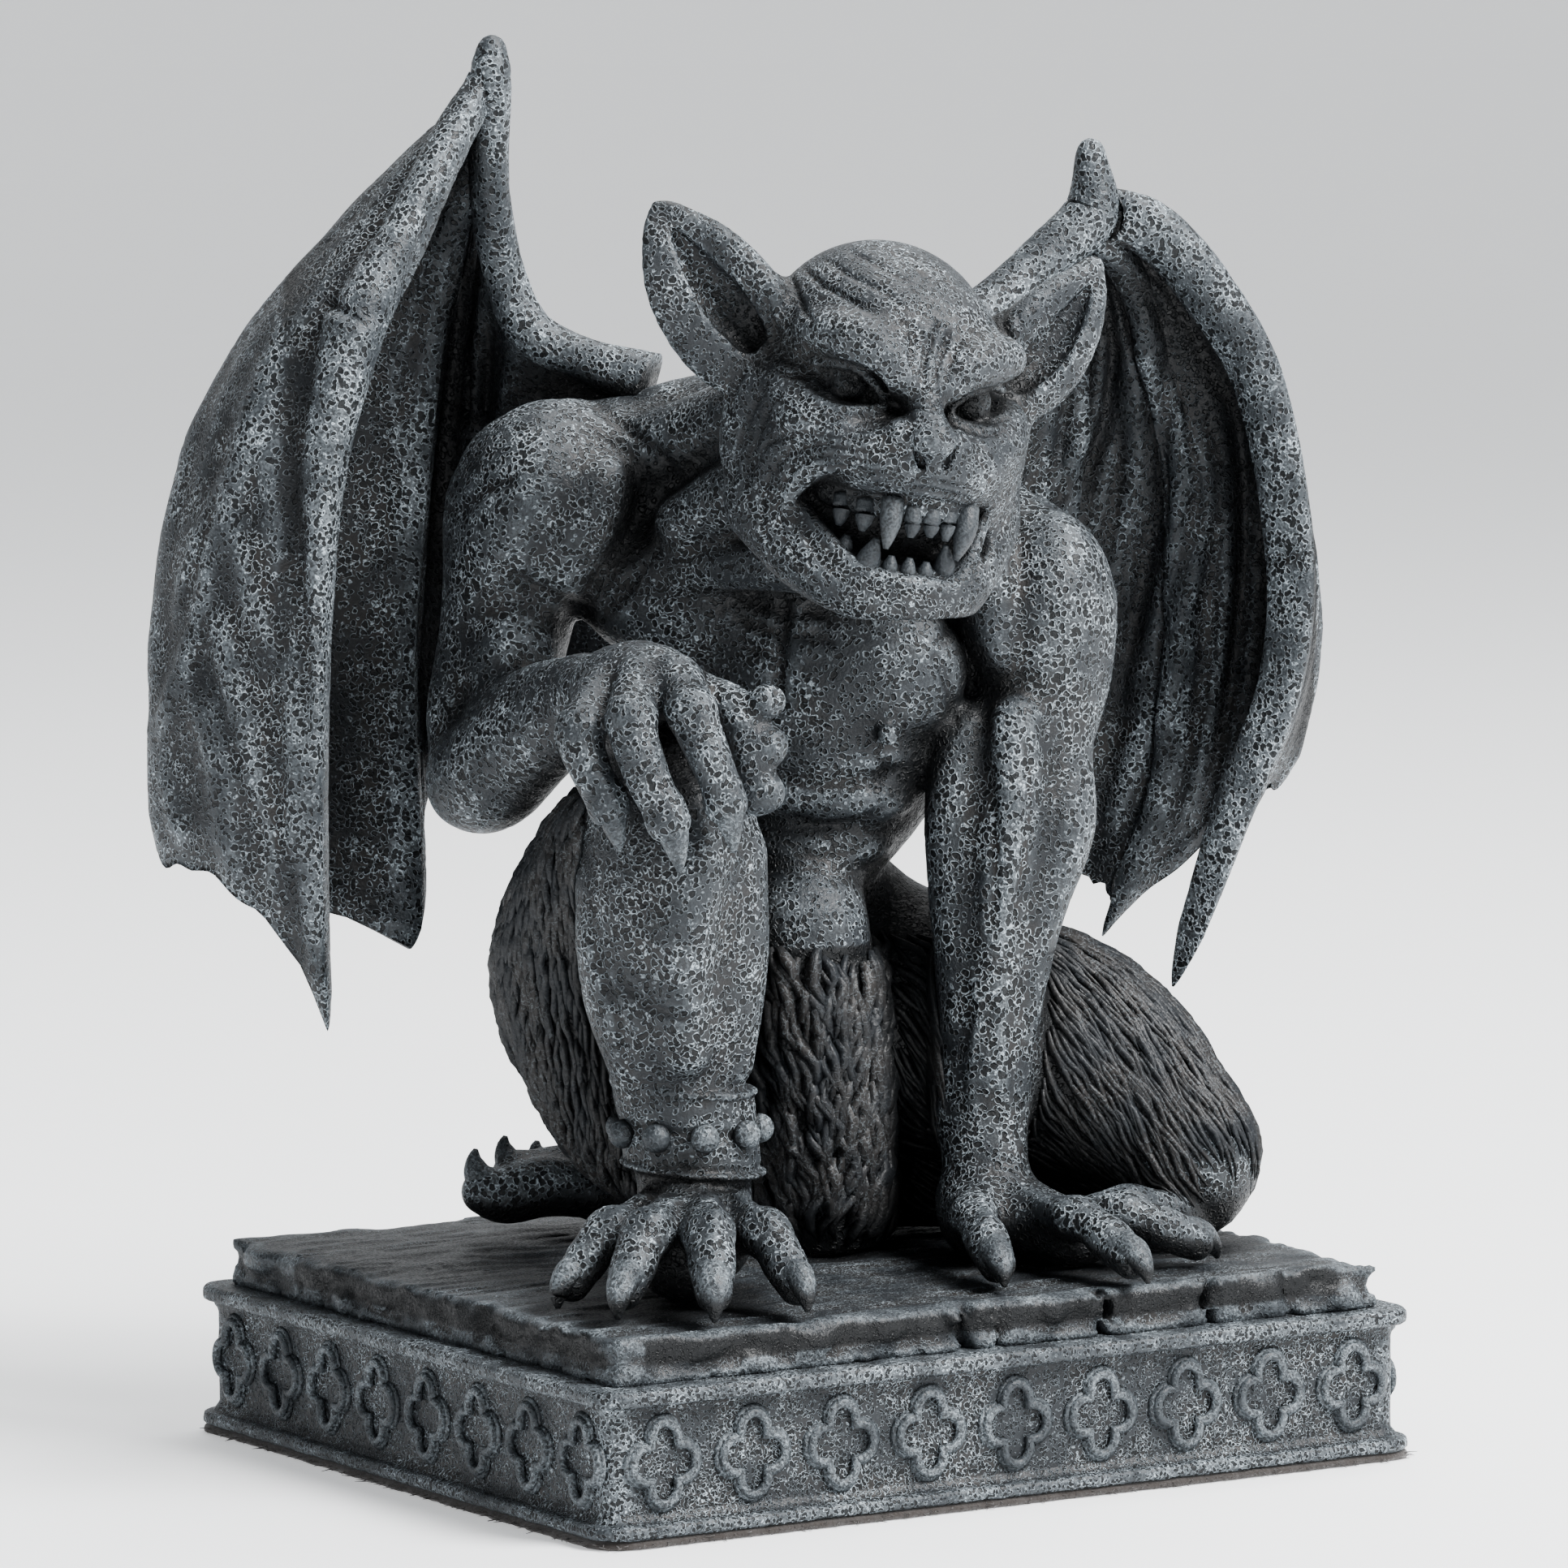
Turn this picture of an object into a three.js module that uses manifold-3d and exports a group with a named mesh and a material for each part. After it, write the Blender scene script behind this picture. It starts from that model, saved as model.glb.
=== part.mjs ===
// Kneeling gargoyle figurine on a plinth with a frieze of quatrefoils.
// Millimetres, +Z up. The origin is the middle of the underside, and -Y is the front of the plinth.
// The gargoyle is modelled in its own frame, turned on the plinth: there +X is its left side,
// -Y is the way its chest faces, and a station is [x, y, z, radius].
import * as THREE from "three";
import { SimplifyModifier } from "three/addons/modifiers/SimplifyModifier.js";
import { mergeVertices } from "three/addons/utils/BufferGeometryUtils.js";
import Module from "manifold-3d";

const wasm = await Module();
wasm.setup();

// Driving dimensions of the plinth
const FRIEZE_WIDTH = 119;
const FRIEZE_DEPTH = 104.3;
const FELT_THICKNESS = 0.9;
const FELT_INSET = 0.5;
const FOOT_MOULDING = { bottom: 1.2, top: 3, overhang: 2.2 };
const CAP_MOULDING = { bottom: 17.8, top: 19.8, overhang: 2 };
const CORNER_RADIUS = 2.5;
const MEDALLION = { pitch: 13, width: 10.6, height: 11.8, band: 1.5, relief: 1.1, sunk: 0.4, centreZ: 10.3 };
const FRONT_MEDALLIONS = 9;
const SIDE_MEDALLIONS = 8;
const SLAB_TOP = 26;
const SLAB_INSET = 3.4;
const SLAB_ROUGHNESS = 0.8;
const SLAB_JOINT = { width: 1.1, depth: 2.2 };
const SLAB_JOINTS_FRONT = [-6, -1, 15.5, 31];
const SLAB_POINTS = 44;
const GAP = 0.3;

// Driving dimensions of the gargoyle
const FIGURE_TURN = THREE.MathUtils.degToRad(-31.5);
const SOLE = SLAB_TOP + GAP;
const HEAD = { at: [11.4, -24, 141.5], yaw: 15, roll: -10, pitch: 4 };
const ANKLET = { at: [-14, -33.5, 47], radius: 8.6, height: 12, lip: 0.7, studs: 8 };
const FUR_FURROW = 0.05;
const POLE_REACH = 0.6;
const MEMBRANE_THICKNESS = 2.2;
const SCALLOPS = [0.2, 0.05, 0.12];
const ROOT_SHIFT = [0.2, 0.2, 0.25];
const BODY_TRIANGLES = 4100;
const WING_TRIANGLES = 770;

const STONE_GREY = 0x4a4e54;
const DARK_FELT = 0x2a2624;

// Turning three.js geometries into solids and back
function solidOf(geometry) {
  const bare = geometry.clone();
  bare.deleteAttribute("normal");
  bare.deleteAttribute("uv");
  const merged = mergeVertices(bare, 1e-4);
  const mesh = new wasm.Mesh({
    numProp: 3,
    vertProperties: new Float32Array(merged.attributes.position.array),
    triVerts: new Uint32Array(merged.index.array),
  });
  return new wasm.Manifold(mesh);
}

function geometryOf(solid) {
  const { vertProperties, triVerts } = solid.getMesh();
  const geometry = new THREE.BufferGeometry();
  geometry.setAttribute("position", new THREE.BufferAttribute(vertProperties, 3));
  geometry.setIndex(new THREE.BufferAttribute(triVerts, 1));
  return geometry;
}

// The same solid with about the given number of triangles: what lies flat is thinned first.
async function thinned(solid, triangles) {
  const geometry = geometryOf(solid);
  const spare = 1 - (3 * triangles) / geometry.index.count;
  const count = Math.floor(geometry.attributes.position.count * Math.max(0, spare));
  return solidOf(await new SimplifyModifier().modify(geometry, count));
}

function union(...parts) {
  const solids = parts.flat(Infinity).map((part) => (part.isBufferGeometry ? solidOf(part) : part));
  return solids.reduce((whole, solid) => whole.add(solid));
}

function block(width, depth, height, [x, y, z]) {
  return new THREE.BoxGeometry(width, depth, height).translate(x, y, z);
}

// Applies a function of a vertex's place to every vertex of a geometry.
function reshape(geometry, move) {
  const position = geometry.attributes.position;
  const point = new THREE.Vector3();
  for (let i = 0; i < position.count; i++) {
    point.fromBufferAttribute(position, i);
    move(point);
    position.setXYZ(i, point.x, point.y, point.z);
  }
  return geometry;
}

// A limb along a smooth curve through its stations, with a pole at each end. It is a sphere whose
// rings are carried along the curve, the poles standing a part of a radius past the end rings.
// flat squeezes the section along the direction `across`, and furrow flutes it, side by side.
function limb(stations, { sides = 8, rings = 7, flat = 1, across = [0, 1, 0], furrow = 0 } = {}) {
  const path = new THREE.CatmullRomCurve3(stations.map(([x, y, z]) => new THREE.Vector3(x, y, z)));
  const girth = new THREE.SplineCurve(stations.map(([, , , r], i) => new THREE.Vector2(i, r)));
  const flatWay = new THREE.Vector3(...across);
  return reshape(new THREE.SphereGeometry(1, sides, rings), (p) => {
    const ring = Math.round((Math.acos(THREE.MathUtils.clamp(p.y, -1, 1)) / Math.PI) * rings);
    const pole = ring === 0 ? -1 : ring === rings ? 1 : 0;
    const share = THREE.MathUtils.clamp((ring - 1) / (rings - 2), 0, 1);
    const tangent = path.getTangent(share);
    const radius = girth.getPoint(share).y;
    const side = new THREE.Vector3().crossVectors(tangent, flatWay).normalize();
    const over = new THREE.Vector3().crossVectors(tangent, side);
    const angle = Math.atan2(p.z, p.x);
    const reach = pole ? 0 : radius * (1 + furrow * Math.cos((angle * sides) / 2));
    p.copy(path.getPoint(share));
    p.addScaledVector(side, Math.cos(angle) * reach);
    p.addScaledVector(over, Math.sin(angle) * reach * flat);
    p.addScaledVector(tangent, pole * POLE_REACH * radius);
  });
}

// An ellipsoid of muscle or bone, turned by degrees about X, Y and Z.
function mass([x, y, z], [rx, ry, rz], [ax, ay, az] = [0, 0, 0], sides = 10, rings = 7) {
  const turn = [ax, ay, az].map(THREE.MathUtils.degToRad);
  const geometry = new THREE.SphereGeometry(1, sides, rings).rotateX(Math.PI / 2).scale(rx, ry, rz);
  const matrix = new THREE.Matrix4().makeRotationFromEuler(new THREE.Euler(...turn));
  return geometry.applyMatrix4(matrix).translate(x, y, z);
}

// Plinth: frieze, mouldings, quatrefoil medallions and the rough slab
function roundedRectangle(width, depth, radius) {
  const [x, y] = [width / 2, depth / 2];
  const shape = new THREE.Shape();
  shape.absarc(x - radius, y - radius, radius, 0, Math.PI / 2);
  shape.absarc(-x + radius, y - radius, radius, Math.PI / 2, Math.PI);
  shape.absarc(-x + radius, -y + radius, radius, Math.PI, 1.5 * Math.PI);
  shape.absarc(x - radius, -y + radius, radius, 1.5 * Math.PI, 2 * Math.PI);
  return shape;
}

function plinthLayer(overhang, bottom, top, bevel = 0) {
  const shape = roundedRectangle(
    FRIEZE_WIDTH + 2 * (overhang - bevel),
    FRIEZE_DEPTH + 2 * (overhang - bevel),
    CORNER_RADIUS,
  );
  const geometry = new THREE.ExtrudeGeometry(shape, {
    depth: top - bottom - 2 * bevel,
    bevelEnabled: bevel > 0,
    bevelSize: bevel,
    bevelThickness: bevel,
    bevelSegments: 1,
    curveSegments: 3,
  });
  return geometry.translate(0, 0, bottom + bevel);
}

// Four lobes on a cross, as one outline of four arcs that meet in the inner corners.
function quatrefoil(width, height, segments) {
  const lobe = width * 0.27;
  const offset = width / 2 - lobe;
  const open = Math.acos((-offset * Math.SQRT1_2) / lobe) - Math.PI / 4;
  const arcs = [0, 1, 2, 3].map((i) => {
    const way = (i * Math.PI) / 2;
    const [x, y] = [Math.cos(way) * offset, Math.sin(way) * offset];
    return new THREE.EllipseCurve(x, y, lobe, lobe, way - open, way + open).getPoints(segments).slice(1);
  });
  return arcs.flat().map((p) => new THREE.Vector2(p.x, (p.y * height) / width));
}

function medallion() {
  const { width, height, band, relief, sunk } = MEDALLION;
  const ring = new THREE.Shape(quatrefoil(width, height, 3));
  ring.holes.push(new THREE.Path(quatrefoil(width - 2 * band, height - 2 * band, 3)));
  const geometry = new THREE.ExtrudeGeometry(ring, { depth: relief + sunk, bevelEnabled: false });
  return geometry.rotateX(Math.PI / 2).translate(0, sunk, 0);
}

function medallionRow(count, faceDistance, turn) {
  const first = (-(count - 1) * MEDALLION.pitch) / 2;
  return Array.from({ length: count }, (_, i) =>
    medallion()
      .translate(first + i * MEDALLION.pitch, -faceDistance, MEDALLION.centreZ)
      .rotateZ(turn),
  );
}

// The slab's edge wanders in and out by a sum of sines of the distance round it.
function roughSlab() {
  const width = FRIEZE_WIDTH + 2 * (CAP_MOULDING.overhang - SLAB_INSET);
  const depth = FRIEZE_DEPTH + 2 * (CAP_MOULDING.overhang - SLAB_INSET);
  const points = roundedRectangle(width, depth, CORNER_RADIUS)
    .getSpacedPoints(SLAB_POINTS)
    .slice(0, SLAB_POINTS)
    .map((p, i) => {
      const wander = Math.sin(i * 1.7) + 0.6 * Math.sin(i * 2.9 + 1);
      return p.multiplyScalar(1 - (SLAB_ROUGHNESS * (1 + wander)) / p.length());
    });
  const slab = new THREE.ExtrudeGeometry(new THREE.Shape(points), {
    depth: SLAB_TOP - CAP_MOULDING.top + GAP - 1,
    bevelEnabled: true,
    bevelThickness: 1,
    bevelSize: 0.9,
    bevelOffset: -0.9,
    bevelSegments: 1,
  }).translate(0, 0, CAP_MOULDING.top - GAP);
  const joints = SLAB_JOINTS_FRONT.map((x) =>
    block(SLAB_JOINT.width, SLAB_JOINT.depth * 2, 20, [x, -depth / 2, SLAB_TOP + 4]),
  );
  const below = block(2 * width, 2 * depth, 20, [0, 0, CAP_MOULDING.top - GAP - 10]);
  return solidOf(slab).subtract(union(joints)).subtract(solidOf(below));
}

function plinth() {
  const { bottom: footBottom, top: footTop, overhang: footOverhang } = FOOT_MOULDING;
  const { bottom: capBottom, top: capTop, overhang: capOverhang } = CAP_MOULDING;
  return union(
    plinthLayer(0, footBottom + 0.5, capTop - 0.5),
    plinthLayer(footOverhang, footBottom, footTop, 0.6),
    plinthLayer(capOverhang, capBottom, capTop, 0.6),
    medallionRow(FRONT_MEDALLIONS, FRIEZE_DEPTH / 2, 0),
    medallionRow(FRONT_MEDALLIONS, FRIEZE_DEPTH / 2, Math.PI),
    medallionRow(SIDE_MEDALLIONS, FRIEZE_WIDTH / 2, Math.PI / 2),
    medallionRow(SIDE_MEDALLIONS, FRIEZE_WIDTH / 2, -Math.PI / 2),
    roughSlab(),
  );
}

// Torso: pelvis, belly, rib cage, chest muscles, humped upper back and a neck that reaches forward
function torso() {
  const trunk = limb(
    [
      [1, 21, 44, 14],
      [1, 20, 58, 18],
      [-1, 14, 71, 13.5],
      [-1.5, 12, 79, 12.5],
      [0.5, 10, 86, 15.5],
      [3, 8, 94, 18],
      [2, 8, 104, 20],
      [-1, 9, 114, 18],
      [-2, 9, 124, 13],
    ],
    { sides: 12, rings: 10, flat: 0.85 },
  );
  const hump = mass([-3, 10, 121], [28, 14, 19], [0, 13, 0], 14, 9);
  const chest = [
    mass([-13, -1, 112], [14, 6.5, 9.5], [0, 8, 0]),
    mass([9.5, -2, 103], [13.5, 6.5, 9.5], [0, 12, 0]),
  ];
  const belly = [93, 86].map((z) => mass([3, -1, z], [12, 5.5, 3.8], [0, 4, 0], 10, 5));
  const neck = limb(
    [
      [-2, 8, 128, 12.5],
      [3, -5, 133, 12],
      [9, -18, 138, 11],
    ],
    { rings: 5, sides: 10 },
  );
  const armpit = mass([21, 8, 101], [6, 6.5, 15], [0, 0, 0], 8, 6);
  return [trunk, hump, chest, belly, neck, armpit];
}

// Arms: the right one bent, its hand on the knee; the left one straight, its hand on the slab
function rightArm() {
  const upper = limb(
    [
      [-26, 8, 128, 9],
      [-33, 4, 124, 12.2],
      [-37, 2, 110, 9.5],
      [-39.5, -1, 98, 9.2],
      [-40, -3, 90, 7],
    ],
    { sides: 10 },
  );
  const fore = limb(
    [
      [-41, -2, 88, 6.2],
      [-38, -8, 91, 8],
      [-32, -17, 97, 6.4],
      [-25, -27, 101.5, 5],
    ],
    { sides: 8 },
  );
  const palm = limb(
    [
      [-26, -27, 101, 5],
      [-19, -37, 104, 6.2],
      [-15, -44, 101.5, 5],
    ],
    { flat: 0.7, across: [0, 0, 1], rings: 5 },
  );
  return [upper, fore, palm];
}

function leftArm() {
  const upper = limb(
    [
      [27, 10, 117, 9],
      [32, 8, 110, 10.6],
      [31, 6, 97, 10],
      [28.5, 3, 85, 10.8],
      [26.5, 0, 71, 9.6],
      [25, -3, 54, 7.6],
      [24.5, -5, 40, 6.3],
      [25.5, -8, 32, 6],
    ],
    { sides: 10, rings: 9 },
  );
  const palm = limb(
    [
      [24.5, -5, 34, 6],
      [29, -11, 30.5, 7.5],
      [35, -15, 29, 6],
    ],
    { flat: 0.6, across: [0, 0, 1], rings: 5 },
  );
  return [upper, palm];
}

// A finger or toe from its knuckle, over its bent joint to the tip, with a claw past it.
function digit(knuckle, joint, tip, claw, radius) {
  const flesh = limb(
    [
      [...knuckle, radius],
      [...joint, radius * 1.05],
      [...tip, radius * 0.8],
    ],
    { sides: 6, rings: 5 },
  );
  const nail = limb(
    [
      [...tip, radius * 0.78],
      [...claw, radius * 0.2],
    ],
    { sides: 5, rings: 3 },
  );
  return [flesh, nail];
}

function rightHandFingers() {
  return [
    digit([-22, -43, 102], [-24, -48.5, 97], [-22.5, -50, 88.5], [-21.5, -50.5, 83.5], 2.7),
    digit([-17, -45, 103.5], [-18, -51, 97], [-15.5, -53, 86.5], [-14.6, -53, 81], 2.9),
    digit([-12.5, -45, 103], [-11, -50.5, 97], [-7.5, -52, 87.5], [-7.6, -51.5, 83], 2.7),
    digit([-13, -41, 102], [-6.5, -46, 98.5], [-5, -47, 92], [-5.8, -47, 87.5], 2.5),
  ];
}

function leftHandFingers() {
  return [
    digit([24.5, -12, 31], [24, -22, 32.5], [24.5, -30, 29.5], [26, -36, 26.6], 3.2),
    digit([31, -17, 31], [37, -25, 32], [41.5, -30, 30], [44, -34, 26.6], 3),
    digit([36, -15, 30.5], [43, -19, 32], [49.5, -18, 29.5], [53.5, -14.5, 26.6], 3),
    digit([37, -10, 30], [45, -8, 31.5], [51, -2, 29.5], [53.5, 3, 26.6], 2.7),
  ];
}

// Legs: the right knee raised under the hand, the left knee down on the slab
function rightLeg() {
  const thigh = limb(
    [
      [-8, 17, 60, 15],
      [-18, 8, 58, 18.5],
      [-23.2, -6, 64, 16],
      [-20.5, -22, 76, 14],
      [-16, -36, 87, 10.5],
    ],
    { sides: 18, rings: 8, furrow: FUR_FURROW },
  );
  const calf = limb(
    [
      [-20, -24, 78, 10],
      [-24, -16, 60, 12.2],
      [-21.5, -18, 48, 10],
      [-17, -25, 41, 6],
    ],
    { sides: 12, rings: 5, furrow: FUR_FURROW },
  );
  const shin = limb(
    [
      [-16, -37, 92, 9],
      [-16.2, -38.5, 86, 11.3],
      [-17, -37, 75, 11.6],
      [-16, -35.5, 63, 10],
      [-14.4, -34, 53, 8.4],
      [-13.3, -33, 41, 7.6],
      [-13, -35, 33, 7.6],
    ],
    { sides: 10 },
  );
  const instep = limb(
    [
      [-12.5, -29, 31, 6.5],
      [-14, -38, 33, 7.6],
      [-14.5, -46, 31.5, 7],
    ],
    { rings: 5 },
  );
  const toes = [
    digit([-18, -40, 33], [-25, -46, 33.5], [-28, -49.5, 30.5], [-29.6, -51, 26.6], 3.5),
    digit([-16, -43, 33.5], [-19.5, -52, 34], [-21.5, -57.5, 30.5], [-22.3, -60.2, 26.6], 3.6),
    digit([-12, -43, 33.5], [-11, -53, 34.5], [-10.6, -60, 31], [-10.6, -63.5, 26.6], 3.7),
    digit([-9, -41, 33], [-3.5, -48, 33.5], [-0.8, -53.2, 30.5], [0.5, -56, 26.6], 3.5),
  ];
  return [thigh, calf, shin, instep, toes];
}

function anklet() {
  const [x, y, z] = ANKLET.at;
  const { radius, height, lip, studs } = ANKLET;
  const half = height / 2;
  const profile = [
    [0, -half],
    [radius + lip, -half],
    [radius, -half + 2 * lip],
    [radius, half - 2 * lip],
    [radius + lip, half],
    [0, half],
  ].map(([r, h]) => new THREE.Vector2(r, h));
  const cuff = new THREE.LatheGeometry(profile, 12).rotateX(Math.PI / 2).translate(x, y, z);
  const beads = Array.from({ length: studs }, (_, i) => {
    const way = ((i + 0.5) / studs) * 2 * Math.PI;
    const place = [x + Math.sin(way) * radius, y - Math.cos(way) * radius, z];
    return mass(place, [1.8, 1.8, 1.8], [0, 0, 0], 6, 4);
  });
  return [cuff, beads];
}

function leftLeg() {
  const thigh = limb(
    [
      [6, 20, 58, 15],
      [17, 15, 54, 17],
      [35, 12, 49, 15.5],
      [46, 8, 42, 11.5],
      [51, 6, 37, 9],
    ],
    { sides: 18, rings: 8, furrow: FUR_FURROW },
  );
  const knee = mass([50.5, 5.5, 36.5], [9.6, 9.4, 10.4], [0, 0, 0]);
  const shin = limb(
    [
      [50, 8, 33, 7],
      [36, 16, 34, 9],
      [18, 20, 33, 8],
      [0, 20, 31, 5.6],
      [-12, 18, 30.5, 5.5],
      [-26, 17, 30.5, 5.2],
    ],
    { sides: 10 },
  );
  const toes = [
    digit([-24, 14, 30], [-34, 12.5, 31], [-40, 11.5, 30.5], [-42.5, 11.5, 35], 4.4),
    digit([-24, 19, 30.5], [-32, 17.5, 32], [-36.5, 16.5, 32], [-38.5, 16.5, 36], 4.2),
    digit([-22, 23, 30], [-29, 24, 31.5], [-33, 24, 31], [-34.5, 24.5, 35], 3.8),
  ];
  return [thigh, knee, shin, toes];
}

function fur() {
  const apron = limb(
    [
      [1, 5, 74, 5],
      [2, 1, 60, 9],
      [3, 0, 44, 9.5],
      [3, 2, 30, 9],
    ],
    { sides: 16, rings: 7, furrow: 1.5 * FUR_FURROW },
  );
  const rump = mass([2, 26, 50], [21, 13, 20], [0, 0, 0], 14, 8);
  return [apron, rump];
}

// Head, in its own frame: +X its left, -Y its face, the origin midway between the ears
function headPlacing() {
  const turn = new THREE.Euler(
    THREE.MathUtils.degToRad(HEAD.pitch),
    THREE.MathUtils.degToRad(-HEAD.roll),
    THREE.MathUtils.degToRad(HEAD.yaw),
    "ZYX",
  );
  return new THREE.Matrix4().makeRotationFromEuler(turn).setPosition(...HEAD.at);
}

function ear(side) {
  const shell = limb(
    [
      [side * 12, 1, 2, 6.4],
      [side * 20, 2, 5, 7.6],
      [side * 26.5, 3, 11.5, 4.8],
      [side * 31, 3, 18.5, 1.6],
    ],
    { sides: 8, rings: 6, flat: 0.42, across: [side * 0.25, 1, 0] },
  );
  const hollow = limb(
    [
      [side * 18, -1.5, 3, 3.2],
      [side * 22, -1.4, 7, 4.6],
      [side * 28, -0.2, 14, 1.6],
    ],
    { sides: 6, rings: 5, flat: 0.5, across: [side * 0.25, 1, 0] },
  );
  return [shell, hollow];
}

function head() {
  const noseBridge = [
    [-3, -12, 5, 3.4],
    [0, -17.5, -3, 3],
    [0, -21.5, -8, 3.6],
  ];
  const jaw = [
    [-13, 0, -10, 4],
    [-10.5, -9, -22, 5.2],
    [0, -16.5, -25.5, 5],
    [10.5, -9, -22, 5.2],
    [13, 0, -10, 4],
  ];
  const bone = [
    mass([0, 1.5, 3.5], [13.6, 15.5, 14.2], [0, 0, 0], 14, 9),
    mass([0, -12, -9], [11, 10, 8.5]),
    mass([0, -5, -16], [10.5, 10, 10]),
    mass([0, -10.5, 0.5], [7, 5.5, 5]),
    mass([0, -11.5, -4], [8, 5.5, 4.5]),
    limb(noseBridge, { sides: 7, rings: 5 }),
    limb(jaw),
  ];
  const features = [-1, 1].map((side) => {
    const brow = [
      [side * 1.5, -15, 0.5, 2.4],
      [side * 7, -14.5, 3, 3.2],
      [side * 12.5, -8, 5, 2.6],
    ];
    const cheek = [
      [side * 13, -5, -5, 3.6],
      [side * 10.5, -13.5, -8, 3.8],
      [side * 11, -12, -16, 3],
    ];
    const eye = mass([side * 7.6, -13, -2], [3.2, 2.6, 2.6], [0, 0, 0], 8, 6);
    const temple = mass([side * 9.5, -7, -2.5], [4.5, 5, 6], [0, 0, 0], 8, 6);
    return [limb(brow, { sides: 6, rings: 5 }), limb(cheek, { sides: 6, rings: 5 }), temple, eye];
  });
  const [rightEar, leftEar] = [ear(-1), ear(1)];
  const mouth = mass([0, -21, -17.5], [11, 12, 4.2], [-8, 0, 0], 12, 6);
  const fangs = [-1, 1].map((side) => {
    const upper = [
      [side * 6, -17.5, -10.5, 2.2],
      [side * 5.8, -20, -19.5, 0.4],
    ];
    const lower = [
      [side * 7.2, -17, -22.5, 1.6],
      [side * 7.4, -18.5, -17, 0.3],
    ];
    return [upper, lower].map((stations) => limb(stations, { sides: 5, rings: 3 }));
  });
  const placing = headPlacing();
  const placed = (parts) => union(parts.flat(Infinity).map((part) => part.applyMatrix4(placing)));
  return placed([bone, features, rightEar[0], leftEar[0]])
    .subtract(placed([mouth, rightEar[1], leftEar[1]]))
    .add(placed(fangs));
}

// Wings: an arm from the shoulder blade to the wrist, three fingers that fan down from it, and the
// membrane, a panel from each finger to the next one and the last to a free edge behind the body.
const WINGS = {
  right: {
    arm: [
      [-19, 11, 140, 3.6],
      [-27, 13, 142.5, 2.6],
      [-34.5, 14, 146, 2.8],
      [-38, 13.5, 154, 2.6],
      [-39.6, 10, 166, 2.4],
    ],
    wrist: [-39.2, 6.5, 179, 2.6],
    thumb: [-39, 6, 183.6, 2],
    fingers: [
      [
        [-44.6, 0, 170, 3.2],
        [-50, -6, 159, 4.2],
        [-55.8, -12, 148, 4.9],
        [-59, -15, 134, 4.3],
        [-61.2, -16, 105, 4.2],
        [-61.7, -15, 80, 3.8],
        [-61, -12, 57, 2.6],
      ],
      [
        [-42.5, 13, 165, 2],
        [-48, 22, 140, 2.6],
        [-52, 26, 105, 2.6],
        [-51.5, 22, 76, 3],
        [-51.4, 20, 63.5, 2.8],
      ],
      [
        [-40, 16, 160, 2],
        [-42, 27, 138, 2.2],
        [-44, 31, 108, 2.4],
        [-47, 26, 84, 2.2],
      ],
    ],
    edge: [
      [-21, 26, 127],
      [-21, 30, 113],
      [-24, 31, 97],
    ],
    bulges: [
      [
        [-29, 2, 0],
        [-42, -4, 0],
      ],
      [
        [-1, 5, 0],
        [2, 5, 0],
      ],
    ],
  },
  left: {
    arm: [
      [20, 13, 145, 3.6],
      [27, 17, 150, 3],
      [34, 21, 155.5, 3.2],
    ],
    wrist: [39.5, 24, 160.5, 4],
    thumb: [39.6, 24, 169.2, 2.2],
    fingers: [
      [
        [47, 25.5, 158.5, 4],
        [54.5, 27, 150.5, 4.2],
        [62, 28, 137, 4],
        [66, 28, 114, 3.8],
        [64.5, 27, 97, 3.5],
        [58, 26, 80, 3.2],
        [50.5, 28, 57, 1.8],
      ],
      [
        [46, 34, 148, 2.4],
        [51.5, 43, 125, 2.6],
        [52, 46, 100, 2.6],
        [49, 44, 78, 2.4],
        [41.5, 42, 62, 2],
      ],
      [
        [38.5, 33, 148, 2],
        [37, 42, 122, 2.2],
        [34, 42, 97, 2.2],
        [32, 41, 66, 1.8],
      ],
    ],
    edge: [
      [20, 27, 130],
      [21, 31, 113],
      [24, 32, 97],
    ],
    bulges: [
      [
        [9, 14, 0],
        [17, 3, 0],
      ],
      [
        [1, 4, 0],
        [-1, 4, 0],
      ],
    ],
  },
};

const vector = ([x, y, z]) => new THREE.Vector3(x, y, z);
const curveThrough = (points) => new THREE.CatmullRomCurve3(points.map(vector));

// Panel between two fingers: across it a Bezier arc that bulges outwards, more so lower down;
// its lower edge rises in a scallop between the finger tips.
function panelBetween(first, second, [firstBulge, secondBulge], scallop) {
  return (a, b) => {
    const down = b * (1 - scallop * 4 * a * (1 - a));
    const swell = Math.pow(Math.sin(Math.min(1, down / 0.7) * (Math.PI / 2)), 1.3);
    const [from, to] = [first.getPoint(down), second.getPoint(down)];
    const arc = new THREE.CubicBezierCurve3(
      from,
      from.clone().addScaledVector(vector(firstBulge), swell),
      to.clone().addScaledVector(vector(secondBulge), swell),
      to,
    );
    return arc.getPoint(a);
  };
}

// Panel that hangs from the wing's arm, from the last finger to the free edge.
function panelUnderArm(arm, finger, edge) {
  return (a, b) => {
    const down = b * (1 - SCALLOPS[2] * 4 * a * (1 - a));
    const point = arm.getPoint(a);
    point.addScaledVector(finger.getPoint(down).sub(finger.getPoint(0)), 1 - a);
    return point.addScaledVector(edge.getPoint(down).sub(edge.getPoint(0)), a);
  };
}

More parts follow.
